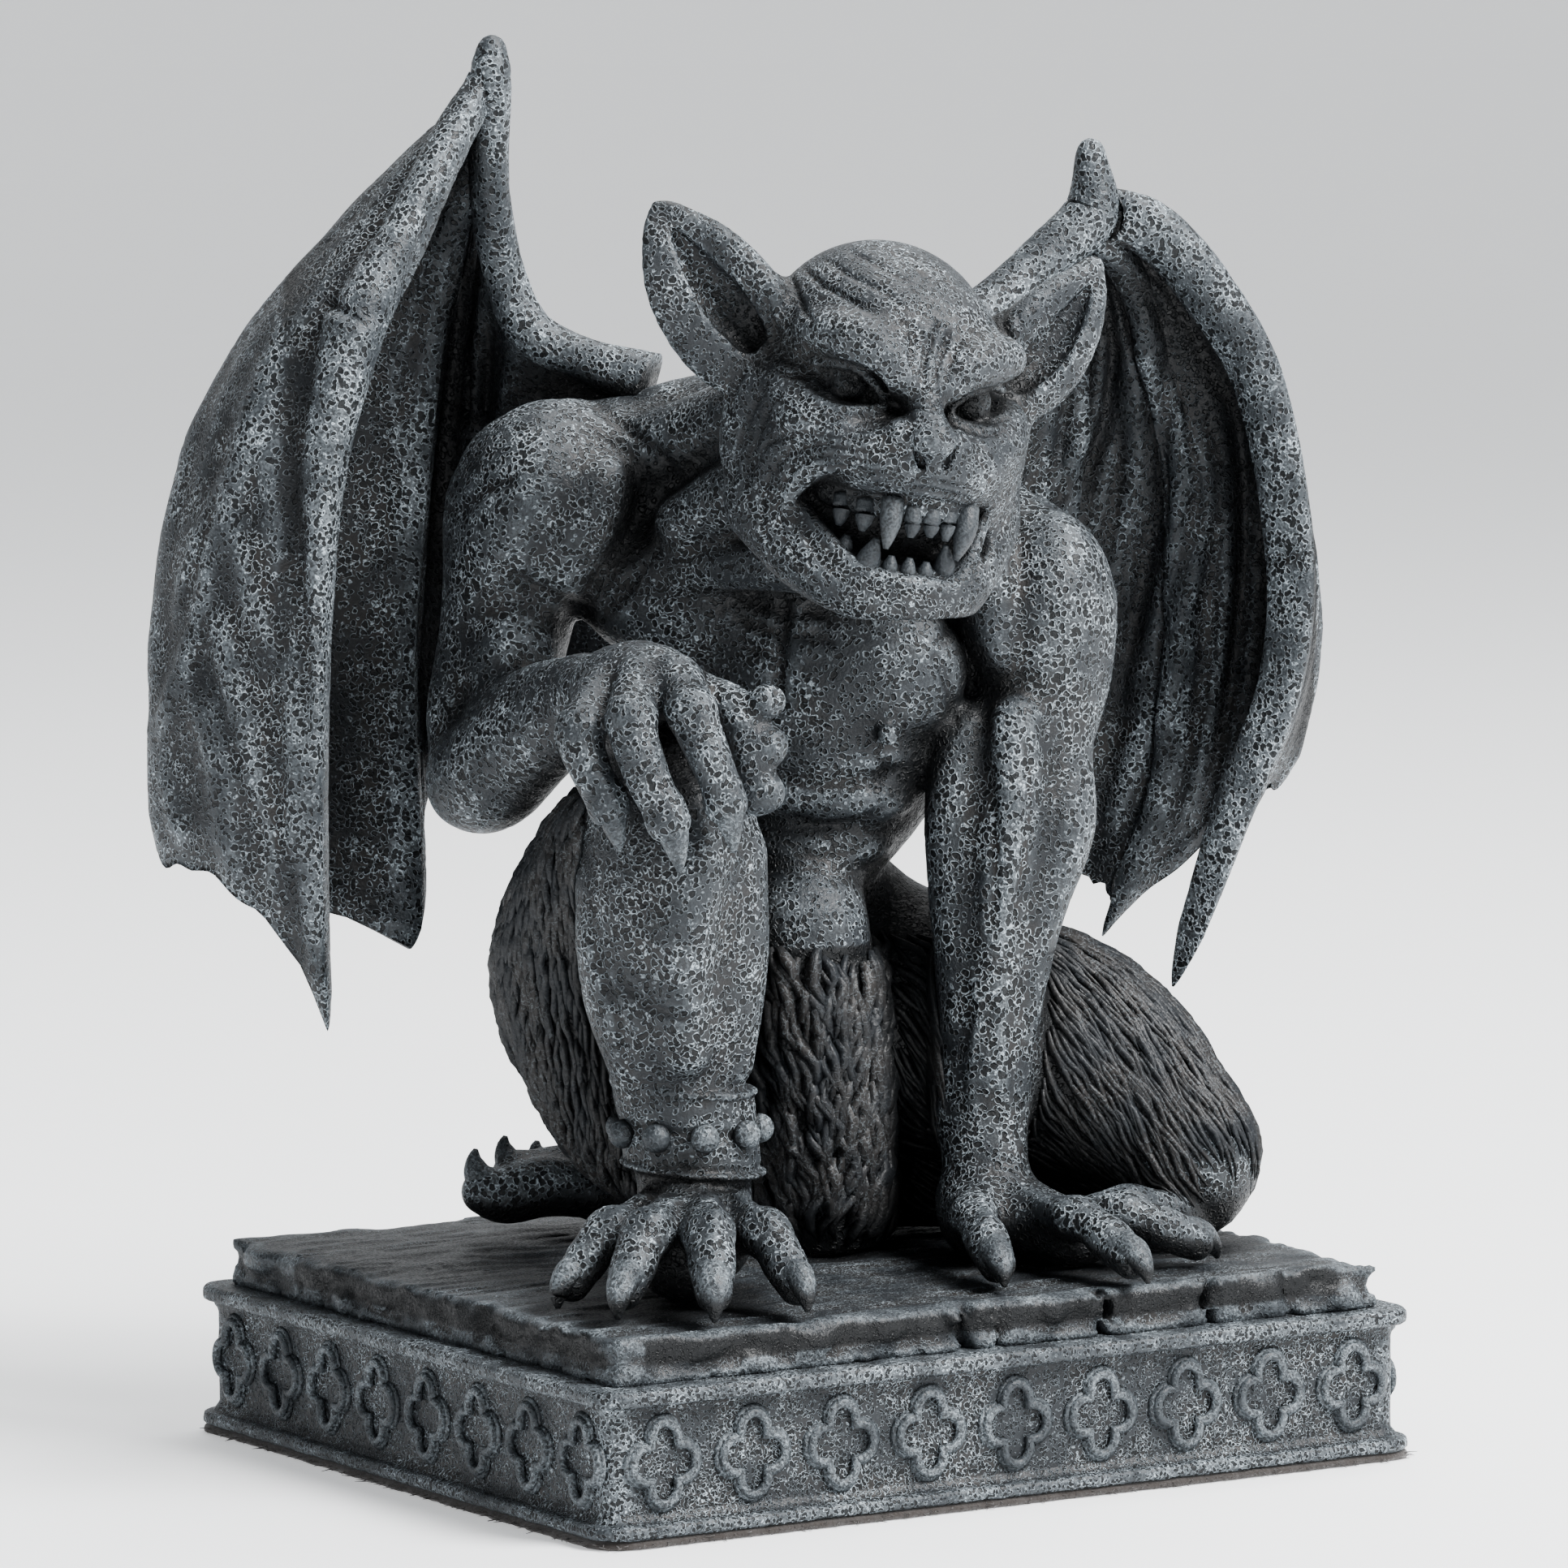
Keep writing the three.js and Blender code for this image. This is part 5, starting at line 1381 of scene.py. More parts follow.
def wing_sheet(wing, seed):
    """The membrane with its fingers as one closed sheet. Each side is the middle surface moved along
    its normal by half the thickness, which swells over each finger as a round bone does. A half circle
    joins the sides round the first finger, and the hem and the free edge are thin."""
    shares = [np.linspace(i, i + 1, n + 1)[(1 if i else 0) :] for i, n in enumerate(PANEL_COLUMNS)]
    across = np.concatenate(shares)
    down = np.linspace(0.015, 1, WING_ROWS)
    a, b = np.meshgrid(across, down)
    middle = wing_middle(wing, a, b)
    along_a = np.gradient(middle, axis=1)
    along_b = np.gradient(middle, axis=0)
    normal = np.cross(along_b, along_a) * -wing["outwards"]
    for _ in range(3):
        normal = normal / np.maximum(np.linalg.norm(normal, axis=2, keepdims=True), 1e-6)
        padded = np.pad(normal, ((1, 1), (1, 1), (0, 0)), mode="edge")
        normal = sum(padded[i : i + len(down), j : j + len(across)] for i in range(3) for j in range(3))
    normal = normal / np.maximum(np.linalg.norm(normal, axis=2, keepdims=True), 1e-6)
    ripple = swells(np.stack([a * 9 + 0.3 * swells(middle, 14, seed), b * 1.3, b * 0], -1), 1.0, seed)
    sag = 1.3 * ripple * np.minimum(1, 3 * b) * np.minimum(1, 4 * np.abs(a - np.round(a)))
    middle = middle + normal * sag[..., None]
    half = MEMBRANE_HALF * (1 + 0.25 * swells(middle, 7, seed + 1))
    for i, finger in enumerate(wing["fingers"]):
        stations = [wing["wrist"]] + finger
        line = curve_at(stations, b * hem_share(wing, a))
        apart = np.linalg.norm(middle - line[..., :3], axis=2)
        apart = np.where(np.abs(a - i) < 0.75, apart, 99.0)
        bone = np.sqrt(np.maximum(line[..., 3] ** 2 - apart**2, 0))
        soft = np.maximum(1.6 - np.abs(bone - half), 0) ** 2 / 6.4
        half = np.maximum(bone, half) + soft * (apart < 2 * line[..., 3])
    edge = np.minimum(1, (1.0 - b) * 22 + 0.12) * np.minimum(1, (3 - a) * 8 + 0.2)
    bone_end = np.sqrt(np.clip((1 - b) * 22, 0.02, 1))
    half = half * np.where(half > 1.6, bone_end, edge)
    outside = middle + normal * half[..., None]
    inside = middle - normal * half[..., None]
    forward = middle[:, 0] - middle[:, 2]
    forward -= normal[:, 0] * (forward * normal[:, 0]).sum(1, keepdims=True)
    forward /= np.maximum(np.linalg.norm(forward, axis=1, keepdims=True), 1e-6)
    angles = np.linspace(0, np.pi, 9)[1:-1]
    nose = (
        middle[:, 0][:, None]
        + half[:, :1, None] * (normal[:, 0][:, None] * np.cos(angles)[None, :, None]
        + forward[:, None] * np.sin(angles)[None, :, None])
    )
    loop = np.concatenate([outside[:, ::-1], nose, inside], axis=1)
    rows, columns, _ = loop.shape
    quads = grid_faces(rows, columns, wrap=True)
    j = np.arange(columns // 2 - 1)
    caps = []
    for row, order in ((0, 1), (rows - 1, -1)):
        strip = np.stack([j, j + 1, columns - 2 - j, columns - 1 - j], axis=1)[:, ::order]
        caps.append(row * columns + strip)
    faces = np.concatenate([quads] + caps)
    if wing["outwards"] > 0:
        faces = faces[:, ::-1]
    return loop.reshape(-1, 3), faces


def wing_bones(wing):
    """The wing's arm up to the claw above the wrist, as a swept tube that narrows along its stations."""
    stations = wing["arm"] + [wing["wrist"], wing["thumb"]]
    path = smooth_path(stations, 14)
    tip = path[-1].copy()
    step = path[-1, :3] - path[-2, :3]
    step /= np.linalg.norm(step)
    ends = np.array([[*(tip[:3] + step * d * tip[3]), tip[3] * r] for d, r in ((0.4, 0.85), (0.75, 0.6), (0.95, 0.2))])
    path = np.concatenate([path, ends])
    return swept(path[None, :, :3], path[None, :, 3], 20)


# Plinth

FRIEZE = {"width": 119.0, "depth": 104.3, "corner": 2.5}
MEDALLION = {"pitch": 13.0, "width": 10.6, "height": 11.8, "centre": 10.3}
FRONT_MEDALLIONS, SIDE_MEDALLIONS = 9, 8


def round_rectangle(width, depth, corner, count):
    """Points and outward normals, evenly spaced along a rectangle with round corners."""
    straight = [depth - 2 * corner, width - 2 * corner]
    arc = corner * np.pi / 2
    total = 2 * sum(straight) + 4 * arc
    s = np.arange(count) * total / count
    points, normals = np.zeros((count, 2)), np.zeros((count, 2))
    start = 0.0
    for i in range(4):
        run = straight[i % 2]
        angle = i * np.pi / 2
        out = np.array([math.cos(angle), math.sin(angle)])
        way = np.array([-out[1], out[0]])
        half_out = (width if i % 2 == 0 else depth) / 2
        flat = (s >= start) & (s < start + run)
        points[flat] = out * half_out + way * (s[flat] - start - run / 2)[:, None]
        normals[flat] = out
        start += run
        bend = (s >= start) & (s < start + arc)
        phi = angle + (s[bend] - start) / corner
        normals[bend] = np.stack([np.cos(phi), np.sin(phi)], axis=1)
        centre = out * (half_out - corner) + way * (run / 2)
        points[bend] = centre + corner * normals[bend]
        start += arc
    return points, normals


def flat_caps(rows, columns):
    """Strips of quads that close the first and the last ring of a grid of rings."""
    j = np.arange(columns // 2 - 1)
    strip = np.stack([j, j + 1, columns - 2 - j, columns - 1 - j], axis=1)
    return np.concatenate([strip[:, ::-1], (rows - 1) * columns + strip])


def moulded(profile, width, depth, corner, count):
    """A profile of (overhang, height) carried round a rounded rectangle, closed below and above."""
    points, normals = round_rectangle(width, depth, corner, count)
    profile = np.array(profile)
    x = points[None, :, 0] + normals[None, :, 0] * profile[:, :1]
    y = points[None, :, 1] + normals[None, :, 1] * profile[:, :1]
    z = np.broadcast_to(profile[:, 1:], x.shape)
    vertices = np.stack([x, y, z], axis=-1).reshape(-1, 3)
    quads = grid_faces(len(profile), count, wrap=True)
    return vertices, np.concatenate([quads, flat_caps(len(profile), count)])


def quatrefoil(width, height, count):
    """Four lobes on a cross as one outline of four arcs that meet in the inner corners."""
    lobe = 0.218 * width
    offset = width / 2 - lobe
    half = math.acos(-offset * math.sqrt(0.5) / lobe) - math.pi / 4
    way = np.repeat(np.arange(4) * np.pi / 2, count)
    t = way + np.tile(np.linspace(-half, half, count, endpoint=False), 4)
    x = np.cos(way) * offset + lobe * np.cos(t)
    y = np.sin(way) * offset + lobe * np.sin(t)
    return np.stack([x, y * height / width], axis=1)


def medallion(inset, radius, rise, sides, squeeze):
    """A bead round a quatrefoil, half sunk in the frieze's front face, as a closed ring."""
    outline = quatrefoil(MEDALLION["width"] - 2 * inset, MEDALLION["height"] - 2 * inset, 10)
    ahead = np.roll(outline, -1, 0) - np.roll(outline, 1, 0)
    ahead /= np.linalg.norm(ahead, axis=1, keepdims=True)
    out = np.stack([ahead[:, 1], -ahead[:, 0]], axis=1)
    angle = np.arange(sides) * 2 * np.pi / sides
    across = outline[:, None] + out[:, None] * (radius * np.cos(angle))[None, :, None]
    front = -(rise + squeeze * radius * np.sin(angle))
    vertices = np.stack([across[..., 0], np.broadcast_to(front, across.shape[:2]), across[..., 1]], -1)
    n = len(outline)
    i, j = np.meshgrid(np.arange(n), np.arange(sides), indexing="ij")
    i2, j2 = (i + 1) % n, (j + 1) % sides
    quads = np.stack([i * sides + j, i2 * sides + j, i2 * sides + j2, i * sides + j2], -1)
    return vertices.reshape(-1, 3), quads.reshape(-1, 4)


def medallion_rows():
    """The beads and steps of all medallions, set along the four faces of the frieze."""
    parts = []
    for inset, radius, rise, sides, squeeze in ((0.75, 0.62, 0.45, 8, 1.0), (0.15, 0.6, 0.1, 4, 0.6)):
        vertices, quads = medallion(inset, radius, rise, sides, squeeze)
        for turn in range(4):
            count = SIDE_MEDALLIONS if turn % 2 else FRONT_MEDALLIONS
            distance = (FRIEZE["width"] if turn % 2 else FRIEZE["depth"]) / 2
            for i in range(count):
                x = (i - (count - 1) / 2) * MEDALLION["pitch"]
                moved = vertices + (x, -distance, MEDALLION["centre"])
                parts.append((turned(moved, turn * math.pi / 2), quads, {}))
    return joined(parts)


SLAB = {"low": 19.5, "inset": 1.4, "step": 0.88, "rim": 0.9}
SLAB_JOINTS = [(-6, 1.3, 3), (-1, 0.8, 2), (15.5, 1.2, 4), (31, 0.9, 3.4), (44, 0.7, 2)]


def slab_skin():
    """The rough slab: a box whose sides are broken by noise and by the facets between scattered
    points, whose top is furrowed like slate, and with joints cut into its front edge."""
    half = np.array([FRIEZE["width"] / 2 - SLAB["inset"], FRIEZE["depth"] / 2 - SLAB["inset"]])
    pad = 3 * SLAB["step"]
    low = np.array([-half[0] - pad, -half[1] - pad, SLAB["low"] - pad])
    clay = Clay(low, (half[0] + pad, half[1] + pad, SLAB_TOP + 0.4 + pad), SLAB["step"])
    x, y, z = clay.axes_in(tuple(slice(0, n) for n in clay.count))
    grid = np.stack(np.broadcast_arrays(x, y, z), axis=-1).reshape(-1, 3).astype(float)
    near_rim = np.abs(np.maximum(np.abs(grid[:, 0]) - half[0], np.abs(grid[:, 1]) - half[1])) < 7
    broken = np.zeros(len(grid))
    rim = grid[near_rim]
    first, second = cobbles(rim * (1, 1, 1.5), 6.5, 5)
    small, _ = cobbles(rim, 2.6, 9)
    broken[near_rim] = 1.5 * np.clip(0.5 - (second - first), 0, 0.5) + 1.1 * first + 0.7 * small
    broken[near_rim] += 0.8 * swells(rim * (1, 1, 2.2), 9, 2)
    broken = broken.reshape(clay.count) - 0.5
    side = np.maximum(np.abs(x) - half[0], np.abs(y) - half[1])
    flat = grid.reshape(tuple(clay.count) + (3,))[:, :, 0].copy()
    flat[..., 2] = 0
    drift = 2.5 * swells(flat, 14, 21)
    slate = swells(np.stack([flat[..., 0] * 0.09, (flat[..., 1] + drift) * 0.5, drift * 0], -1), 1.0, 4)
    fine = swells(np.stack([flat[..., 0] * 0.2, (flat[..., 1] + drift) * 1.1, drift * 0], -1), 1.0, 6)
    top = SLAB_TOP - 0.15 - 0.5 * np.abs(slate) - 0.22 * np.abs(fine) + 0.2 * swells(flat, 11, 8)
    rise = z - top[..., None]
    k = SLAB["rim"]
    side = side + broken * np.clip((z - SLAB["low"]) / 1.5, 0.3, 1)
    soft = np.maximum(k - np.abs(side - rise), 0) ** 2 / (4 * k)
    clay.field = (np.maximum(side, rise) + soft).astype(np.float32)
    for at, wide, deep in SLAB_JOINTS:
        bend = 0.6 * np.sin(z * 1.3 + at)
        cut = np.maximum(np.abs(x - at - bend) - wide / 2, y + half[1] - deep)
        clay.field = np.maximum(clay.field, -cut)
    clay.field = np.maximum(clay.field, SLAB["low"] - z).astype(np.float32)
    clay.field = np.broadcast_to(clay.field, clay.count).copy()
    clay.keep_box(low + SLAB["step"], clay.high - SLAB["step"])
    return skin(clay)


FRIEZE_PROFILE = (
    [(-2, 1.2), (1.0, 1.2), (1.8, 1.25), (2.15, 1.6), (2.2, 2.1), (2.1, 2.6), (1.7, 2.9)]
    + [(1.1, 3.0), (0.7, 3.15), (0.45, 3.5), (0.2, 3.8), (0, 4.2)]
    + [(0, 4.2 + 0.88 * i) for i in range(1, 14)]
    + [(0, 16.2), (0.15, 16.7), (0.5, 17.1), (0.6, 17.5), (1.0, 17.7), (1.6, 17.8), (1.9, 18.0)]
    + [(2.0, 18.4), (2.0, 19.0), (1.95, 19.4), (1.6, 19.75), (0.8, 19.8), (-2, 19.8)]
)


def plinth_frieze():
    """The frieze with its foot and cap mouldings, slightly dented."""
    vertices, quads = moulded(FRIEZE_PROFILE, FRIEZE["width"], FRIEZE["depth"], FRIEZE["corner"], 500)
    normals = faces_normals(vertices, quads)
    dents = 0.1 * rough(vertices, 3.0, 3, 11) - 0.25 * np.clip(swells(vertices, 5.0, 12) - 0.55, 0, 1)
    return vertices + normals * np.minimum(dents, 0.05)[:, None], quads


# Small parts


def tapered(stations, rings=8):
    """One smooth tube through stations, from a closed start to a closed tip."""
    path = smooth_path(stations, rings)
    return path[:, :3], path[:, 3]


def tubes(list_of_stations, sides, rings=6):
    """Several tubes of the same number of stations as one closed set of surfaces."""
    parts = []
    for stations in list_of_stations:
        path, radii = tapered(stations, rings)
        parts.append(swept(path[None], radii[None], sides) + ({},))
    return joined(parts)


CLAWS = {
    "right hand": [
        [(-23.3, -50.6, 91, 1.9), (-22.9, -51.4, 88.2, 1.7), (-22.4, -51.2, 85.8, 1), (-22.2, -50.8, 84.2, 0.25)],
        [(-15.9, -53.2, 89.4, 2.1), (-15.3, -54, 86.4, 1.9), (-14.8, -53.9, 83.6, 1.05), (-14.6, -53.5, 81.8, 0.25)],
        [(-8.8, -52.4, 91.4, 2), (-8.4, -53.2, 88.6, 1.8), (-8, -53, 86, 1), (-7.8, -52.6, 84.2, 0.25)],
    ],
    "right foot": [
        [(-27.4, -49.2, 31.4, 2), (-29, -50.8, 30.6, 2), (-30.2, -52, 28.6, 1.35), (-30.4, -52.4, 26.6, 0.3)],
        [(-21, -57, 32, 2.2), (-22, -59.6, 31.2, 2.1), (-22.6, -61.6, 29, 1.45), (-22.7, -62.2, 26.7, 0.3)],
        [(-10.9, -60, 32.2, 2.3), (-10.7, -62.8, 31.4, 2.15), (-10.6, -64.4, 29.2, 1.5), (-10.6, -64.6, 26.7, 0.3)],
        [(-1.2, -52.8, 31.4, 2.1), (0, -55, 30.8, 2), (0.8, -56.6, 28.8, 1.35), (1, -57, 26.7, 0.3)],
    ],
    "left hand": [
        [(24.8, -31, 30.6, 2.2), (25.4, -33.8, 30, 2.1), (26, -36, 28.2, 1.3), (26.2, -37, 26.6, 0.3)],
        [(41.4, -30, 30.8, 2.1), (43, -32.4, 30, 2), (44.2, -34.2, 28.2, 1.2), (44.6, -35, 26.6, 0.3)],
        [(49.8, -17.4, 30.6, 2.1), (52, -16.2, 30, 2), (53.8, -14.8, 28.2, 1.2), (54.4, -14.2, 26.6, 0.3)],
        [(51, -1.4, 30.4, 2), (52.4, 0.8, 29.8, 1.9), (53.6, 3, 28.2, 1.2), (54, 4, 26.6, 0.3)],
    ],
    "left foot": [
        [(-40.4, 11.4, 32.6, 2.3), (-42.2, 11.4, 34.2, 2.1), (-42.8, 11.5, 36.2, 1.2), (-42.6, 11.6, 37.8, 0.3)],
        [(-36.6, 16.4, 34.4, 2.2), (-38.4, 16.4, 35.6, 2), (-39, 16.5, 37.4, 1.1), (-38.8, 16.6, 38.8, 0.3)],
        [(-32.6, 24.4, 33, 2.2), (-34.2, 24.5, 34.2, 2), (-34.9, 24.5, 35.8, 1.1), (-34.8, 24.6, 37, 0.3)],
    ],
}


def beads(spots, radius):
    """Studs: spheres, each a grid of latitude and longitude whose poles are small closed rings."""
    latitude = np.linspace(-1.45, 1.45, 9)
    parts = []
    for spot in spots:
        centre = np.array(spot, float)
        path = centre + np.stack([0 * latitude, 0 * latitude, radius * np.sin(latitude)], axis=1)
        parts.append(swept(path[None], (radius * np.cos(latitude))[None], 14) + ({},))
    return joined(parts)


# The pieces, as operators


def settings():
    return bpy.context.scene.gargoyle_statue


def finish_colours():
    s = settings().finish
    names = ("base", "warm", "mid", "pale", "dark")
    colours = {name: tuple(getattr(s, name)) + (1.0,) for name in names}
    return {**colours, "gloss": s.gloss, "shine": s.shine}


def field_of(forms, step=1.5):
    """The field of some forms on a coarse grid over the lower body."""
    clay = Clay((-56, -66, 22), (68, 50, 96), step)
    for form in forms:
        clay.add(form)
    return clay


def furred(points):
    """Where fur grows: on the thighs, apron and rump, and not on knees, shins, feet or arms."""
    low = points[:, 2] < np.where(points[:, 0] < -7, 90, 67)
    return (Shared.furry.at(points) < 1.5) & (Shared.bare.at(points) > 0.9) & low


class Shared:
    """What several pieces need, worked out once: the forms, the wings' sheets and the surroundings."""

    forms = None
    furry = None
    bare = None
    sheets = None
    surroundings = None
    skins = {}
    materials = {}

    @classmethod
    def ready(cls):
        if cls.forms is None:
            cls.forms = body_forms()
            cls.furry = field_of(right_leg_forms()[:2] + [left_leg_forms()[0], left_leg_forms()[2]] + apron_forms())
            cls.bare = field_of(
                right_leg_forms()[2:] + left_leg_forms()[1:2] + left_leg_forms()[3:] + left_arm_forms()
                + left_hand_forms() + right_foot_forms() + anklet_forms()
            )
            cls.sheets = {side: wing_sheet(wing, 30 + i) for i, (side, wing) in enumerate(WINGS.items())}
            cloud = np.concatenate([sheet[0] for sheet in cls.sheets.values()])
            cls.surroundings = Surroundings(cls.forms, cloud)
        return cls

    @classmethod
    def stone(cls, kind="skin"):
        if kind not in cls.materials:
            size, depth = {"skin": (1.0, 1.0), "face": (0.8, 0.9), "wing": (0.9, 0.8), "plinth": (0.62, 0.7), "fur": (0.8, 0.5)}[kind]
            s = settings().finish
            cls.materials[kind] = stone_material(f"stone_{kind}", finish_colours(), size * s.pit_size, depth * s.pit_depth)
        return cls.materials[kind]


def add_skin(name, material, node, weather=0.12, pitted=1.0):
    shared = Shared.ready()
    region = next(r for r in REGIONS if r[0] == name)
    vertices, quads, inland = region_skin(shared.forms, region)
    vertices = carved(vertices, quads, REGION_STROKES.get(name, BODY_STROKES))
    vertices = weathered(vertices, quads, weather)
    shared.skins[name] = (vertices, quads)
    values = finish_values(vertices, quads, shared.surroundings, pitted)
    values["stands_out"] = 0.5 + (values["stands_out"] - 0.5) * np.clip((inland - 0.5) / 3, 0, 1)
    # Painted shade under the fur: the skin where the locks grow is darkened as if shaded by them.
    shaded_under_fur = furred(vertices)
    values["recess"] = np.maximum(values["recess"], 0.75 * shaded_under_fur)
    part = turned(vertices, FIGURE_TURN)
    return to_mesh(name, part, quads, material, node, values)


class GARGOYLE_OT_head(bpy.types.Operator):
    """Makes the head, with its ears, snarl and wrinkles"""

    bl_idname = "gargoyle.head"
    bl_label = "Head"

    def execute(self, context):
        add_skin("gargoyle_head", Shared.stone("face"), "gargoyle", 0.07)
        matrix = turn_matrix(*HEAD_TURN, order="zyx")
        parts = []
        for rows in TEETH.values():
            for stations in rows:
                s = np.array(stations)
                s[:, :3] = s[:, :3] @ matrix.T + np.array(HEAD_AT)
                path, radii = tapered(s, 5)
                parts.append(swept(path[None], radii[None], 12) + ({},))
        vertices, quads, _ = joined(parts)
        values = finish_values(vertices, quads, Shared.surroundings, 0.0)
        values["stands_out"] = np.full(len(vertices), 0.72)
        values["recess"] *= 0.4
        part = turned(vertices, FIGURE_TURN)
        to_mesh("gargoyle_teeth", part, quads, Shared.stone("face"), "gargoyle", values)
        return {"FINISHED"}


class GARGOYLE_OT_body(bpy.types.Operator):
    """Makes the torso with its arms, and the hips and thighs"""

    bl_idname = "gargoyle.body"
    bl_label = "Torso and legs"

    def execute(self, context):
        add_skin("gargoyle_torso", Shared.stone("skin"), "gargoyle")
        add_skin("gargoyle_legs", Shared.stone("skin"), "gargoyle")
        return {"FINISHED"}


class GARGOYLE_OT_hands(bpy.types.Operator):
    """Makes both hands, the right foot with the anklet, the claws and the studs"""

    bl_idname = "gargoyle.hands"
    bl_label = "Hands and feet"

    def execute(self, context):
        for name in ("gargoyle_right_hand", "gargoyle_right_foot", "gargoyle_left_hand"):
            add_skin(name, Shared.stone("skin"), "gargoyle", 0.1)
        stations = [claw for claws in CLAWS.values() for claw in claws]
        vertices, quads, _ = tubes(stations, 12)
        values = finish_values(vertices, quads, Shared.surroundings, 0.25)
        values["stands_out"] += 0.12
        self.write("gargoyle_claws", vertices, quads, values)
        x, y, z = ANKLET["at"]
        count = 9
        way = (np.arange(count) + 0.35) / count * 2 * np.pi
        spots = np.stack([x + np.sin(way) * 9.1, y - np.cos(way) * 9.1, z - 0.4 + 0 * way], axis=1)
        vertices, quads, _ = beads(spots, 1.9)
        values = finish_values(vertices, quads, Shared.surroundings, 0.3)
        values["stands_out"] += 0.2
        self.write("gargoyle_anklet_studs", vertices, quads, values)
        return {"FINISHED"}

    def write(self, name, vertices, quads, values):
        part = turned(vertices, FIGURE_TURN)
        to_mesh(name, part, quads, Shared.stone("skin"), "gargoyle", values)


def down_the_right_thigh(p):
    way = np.zeros_like(p) + (0.1, 0.25, -1.0)
    way[:, 1] += 0.35 * swells(p, 12, 71)
    way[:, 0] += 0.3 * swells(p, 10, 72)
    return way


def out_along_the_left_thigh(p):
    share = np.clip((p[:, 0] - 8) / 40, 0, 1)[:, None]
    way = (1 - share) * (0.7, -0.2, -0.75) + share * (0.55, -0.1, -1.0)
    way[:, 2] += 0.3 * swells(p, 12, 73)
    return way


def down_the_apron(p):
    way = np.zeros_like(p) + (0.0, -0.1, -1.0)
    way[:, 0] += 0.35 * swells(p, 7, 74) - 0.04 * (p[:, 0] - 3)
    return way


def down_the_rump(p):
    way = np.zeros_like(p) + (0.0, 0.0, -1.0)
    way[:, 0] += 0.4 * swells(p, 9, 75)
    return way


class GARGOYLE_OT_fur(bpy.types.Operator):
    """Makes the carved locks of fur on the thighs, the apron and the rump"""

    bl_idname = "gargoyle.fur"
    bl_label = "Fur"

    def execute(self, context):
        shared = Shared.ready()
        clay = Clay((-52, -52, 22), (66, 46, 92), 1.2)
        for form in shared.forms:
            clay.add(form)
        clay.keep_box(clay.low + 2, clay.high - 2)
        vertices, quads = skin(clay)
        vertices = settle(clay, vertices)
        normals = faces_normals(vertices, quads)
        x, y, z = vertices.T
        grows = furred(vertices)
        right = grows & (x < -7) & (y < 16)
        apron = grows & (x >= -7) & (x < 12) & (y < 10)
        left = grows & (x >= 12) & (y < 24)
        rump = grows & ~right & ~apron & ~left
        fields = (
            (right, down_the_right_thigh, 6.4, 1.15, 0.2, 1.75),
            (apron, down_the_apron, 8.0, 1.9, 0.5, 2.0),
            (left, out_along_the_left_thigh, 10.0, 1.05, 0.2, 1.8),
            (rump, down_the_rump, 9.0, 2.2, 0.3, 3.0),
        )
        sets = []
        for i, (wanted, flow, length, width, curl, spacing) in enumerate(fields):
            seeds = seeds_on(vertices, normals, wanted, spacing, 40 + i)
            path, radii, normal = fur_locks(clay, seeds, flow, length, width, curl, 50 + i)
            keep = (path[:, :, 2] > SOLE + 0.4).all(1) & (np.abs(clay.at(path.reshape(-1, 3))).reshape(radii.shape) < 1.5).all(1)
            sets.append((path[keep], radii[keep], normal[keep]))
        path, radii, normal = (np.concatenate(column) for column in zip(*sets))
        vertices, quads = swept(path, radii, 4, normal)
        height = np.tile(np.sin(np.arange(4) * np.pi / 2), len(vertices) // 4)
        values = {
            "stands_out": np.clip(0.5 + 0.42 * height, 0, 1),
            "recess": shared.surroundings.recess(vertices, np.repeat(normal.reshape(-1, 3), 4, axis=0)),
            "pitted": np.full(len(vertices), 0.15),
        }
        part = turned(vertices, FIGURE_TURN)
        to_mesh("gargoyle_fur", part, quads, Shared.stone("fur"), "gargoyle", values)
        return {"FINISHED"}


class GARGOYLE_OT_wings(bpy.types.Operator):
    """Makes both wings, each a veined sheet with its fingers and an arm"""

    bl_idname = "gargoyle.wings"
    bl_label = "Wings"

    def execute(self, context):
        shared = Shared.ready()
        for i, (side, wing) in enumerate(WINGS.items()):
            vertices, quads = shared.sheets[side]
            vertices = carved(vertices, quads, WING_STROKES[side])
            vertices = weathered(vertices, quads, 0.14, 1.7, 13 + i)
            bones, bone_quads = wing_bones(wing)
            bones = weathered(bones, bone_quads, 0.2, 2.2, 15 + i)
            values = finish_values(vertices, quads, shared.surroundings)
            bone_values = finish_values(bones, bone_quads, shared.surroundings)
            v, q, n = joined([(vertices, quads, values), (bones, bone_quads, bone_values)])
            part = turned(v, FIGURE_TURN)
            to_mesh(f"{side}_wing", part, q, Shared.stone("wing"), f"wing_{side}", n)
        return {"FINISHED"}


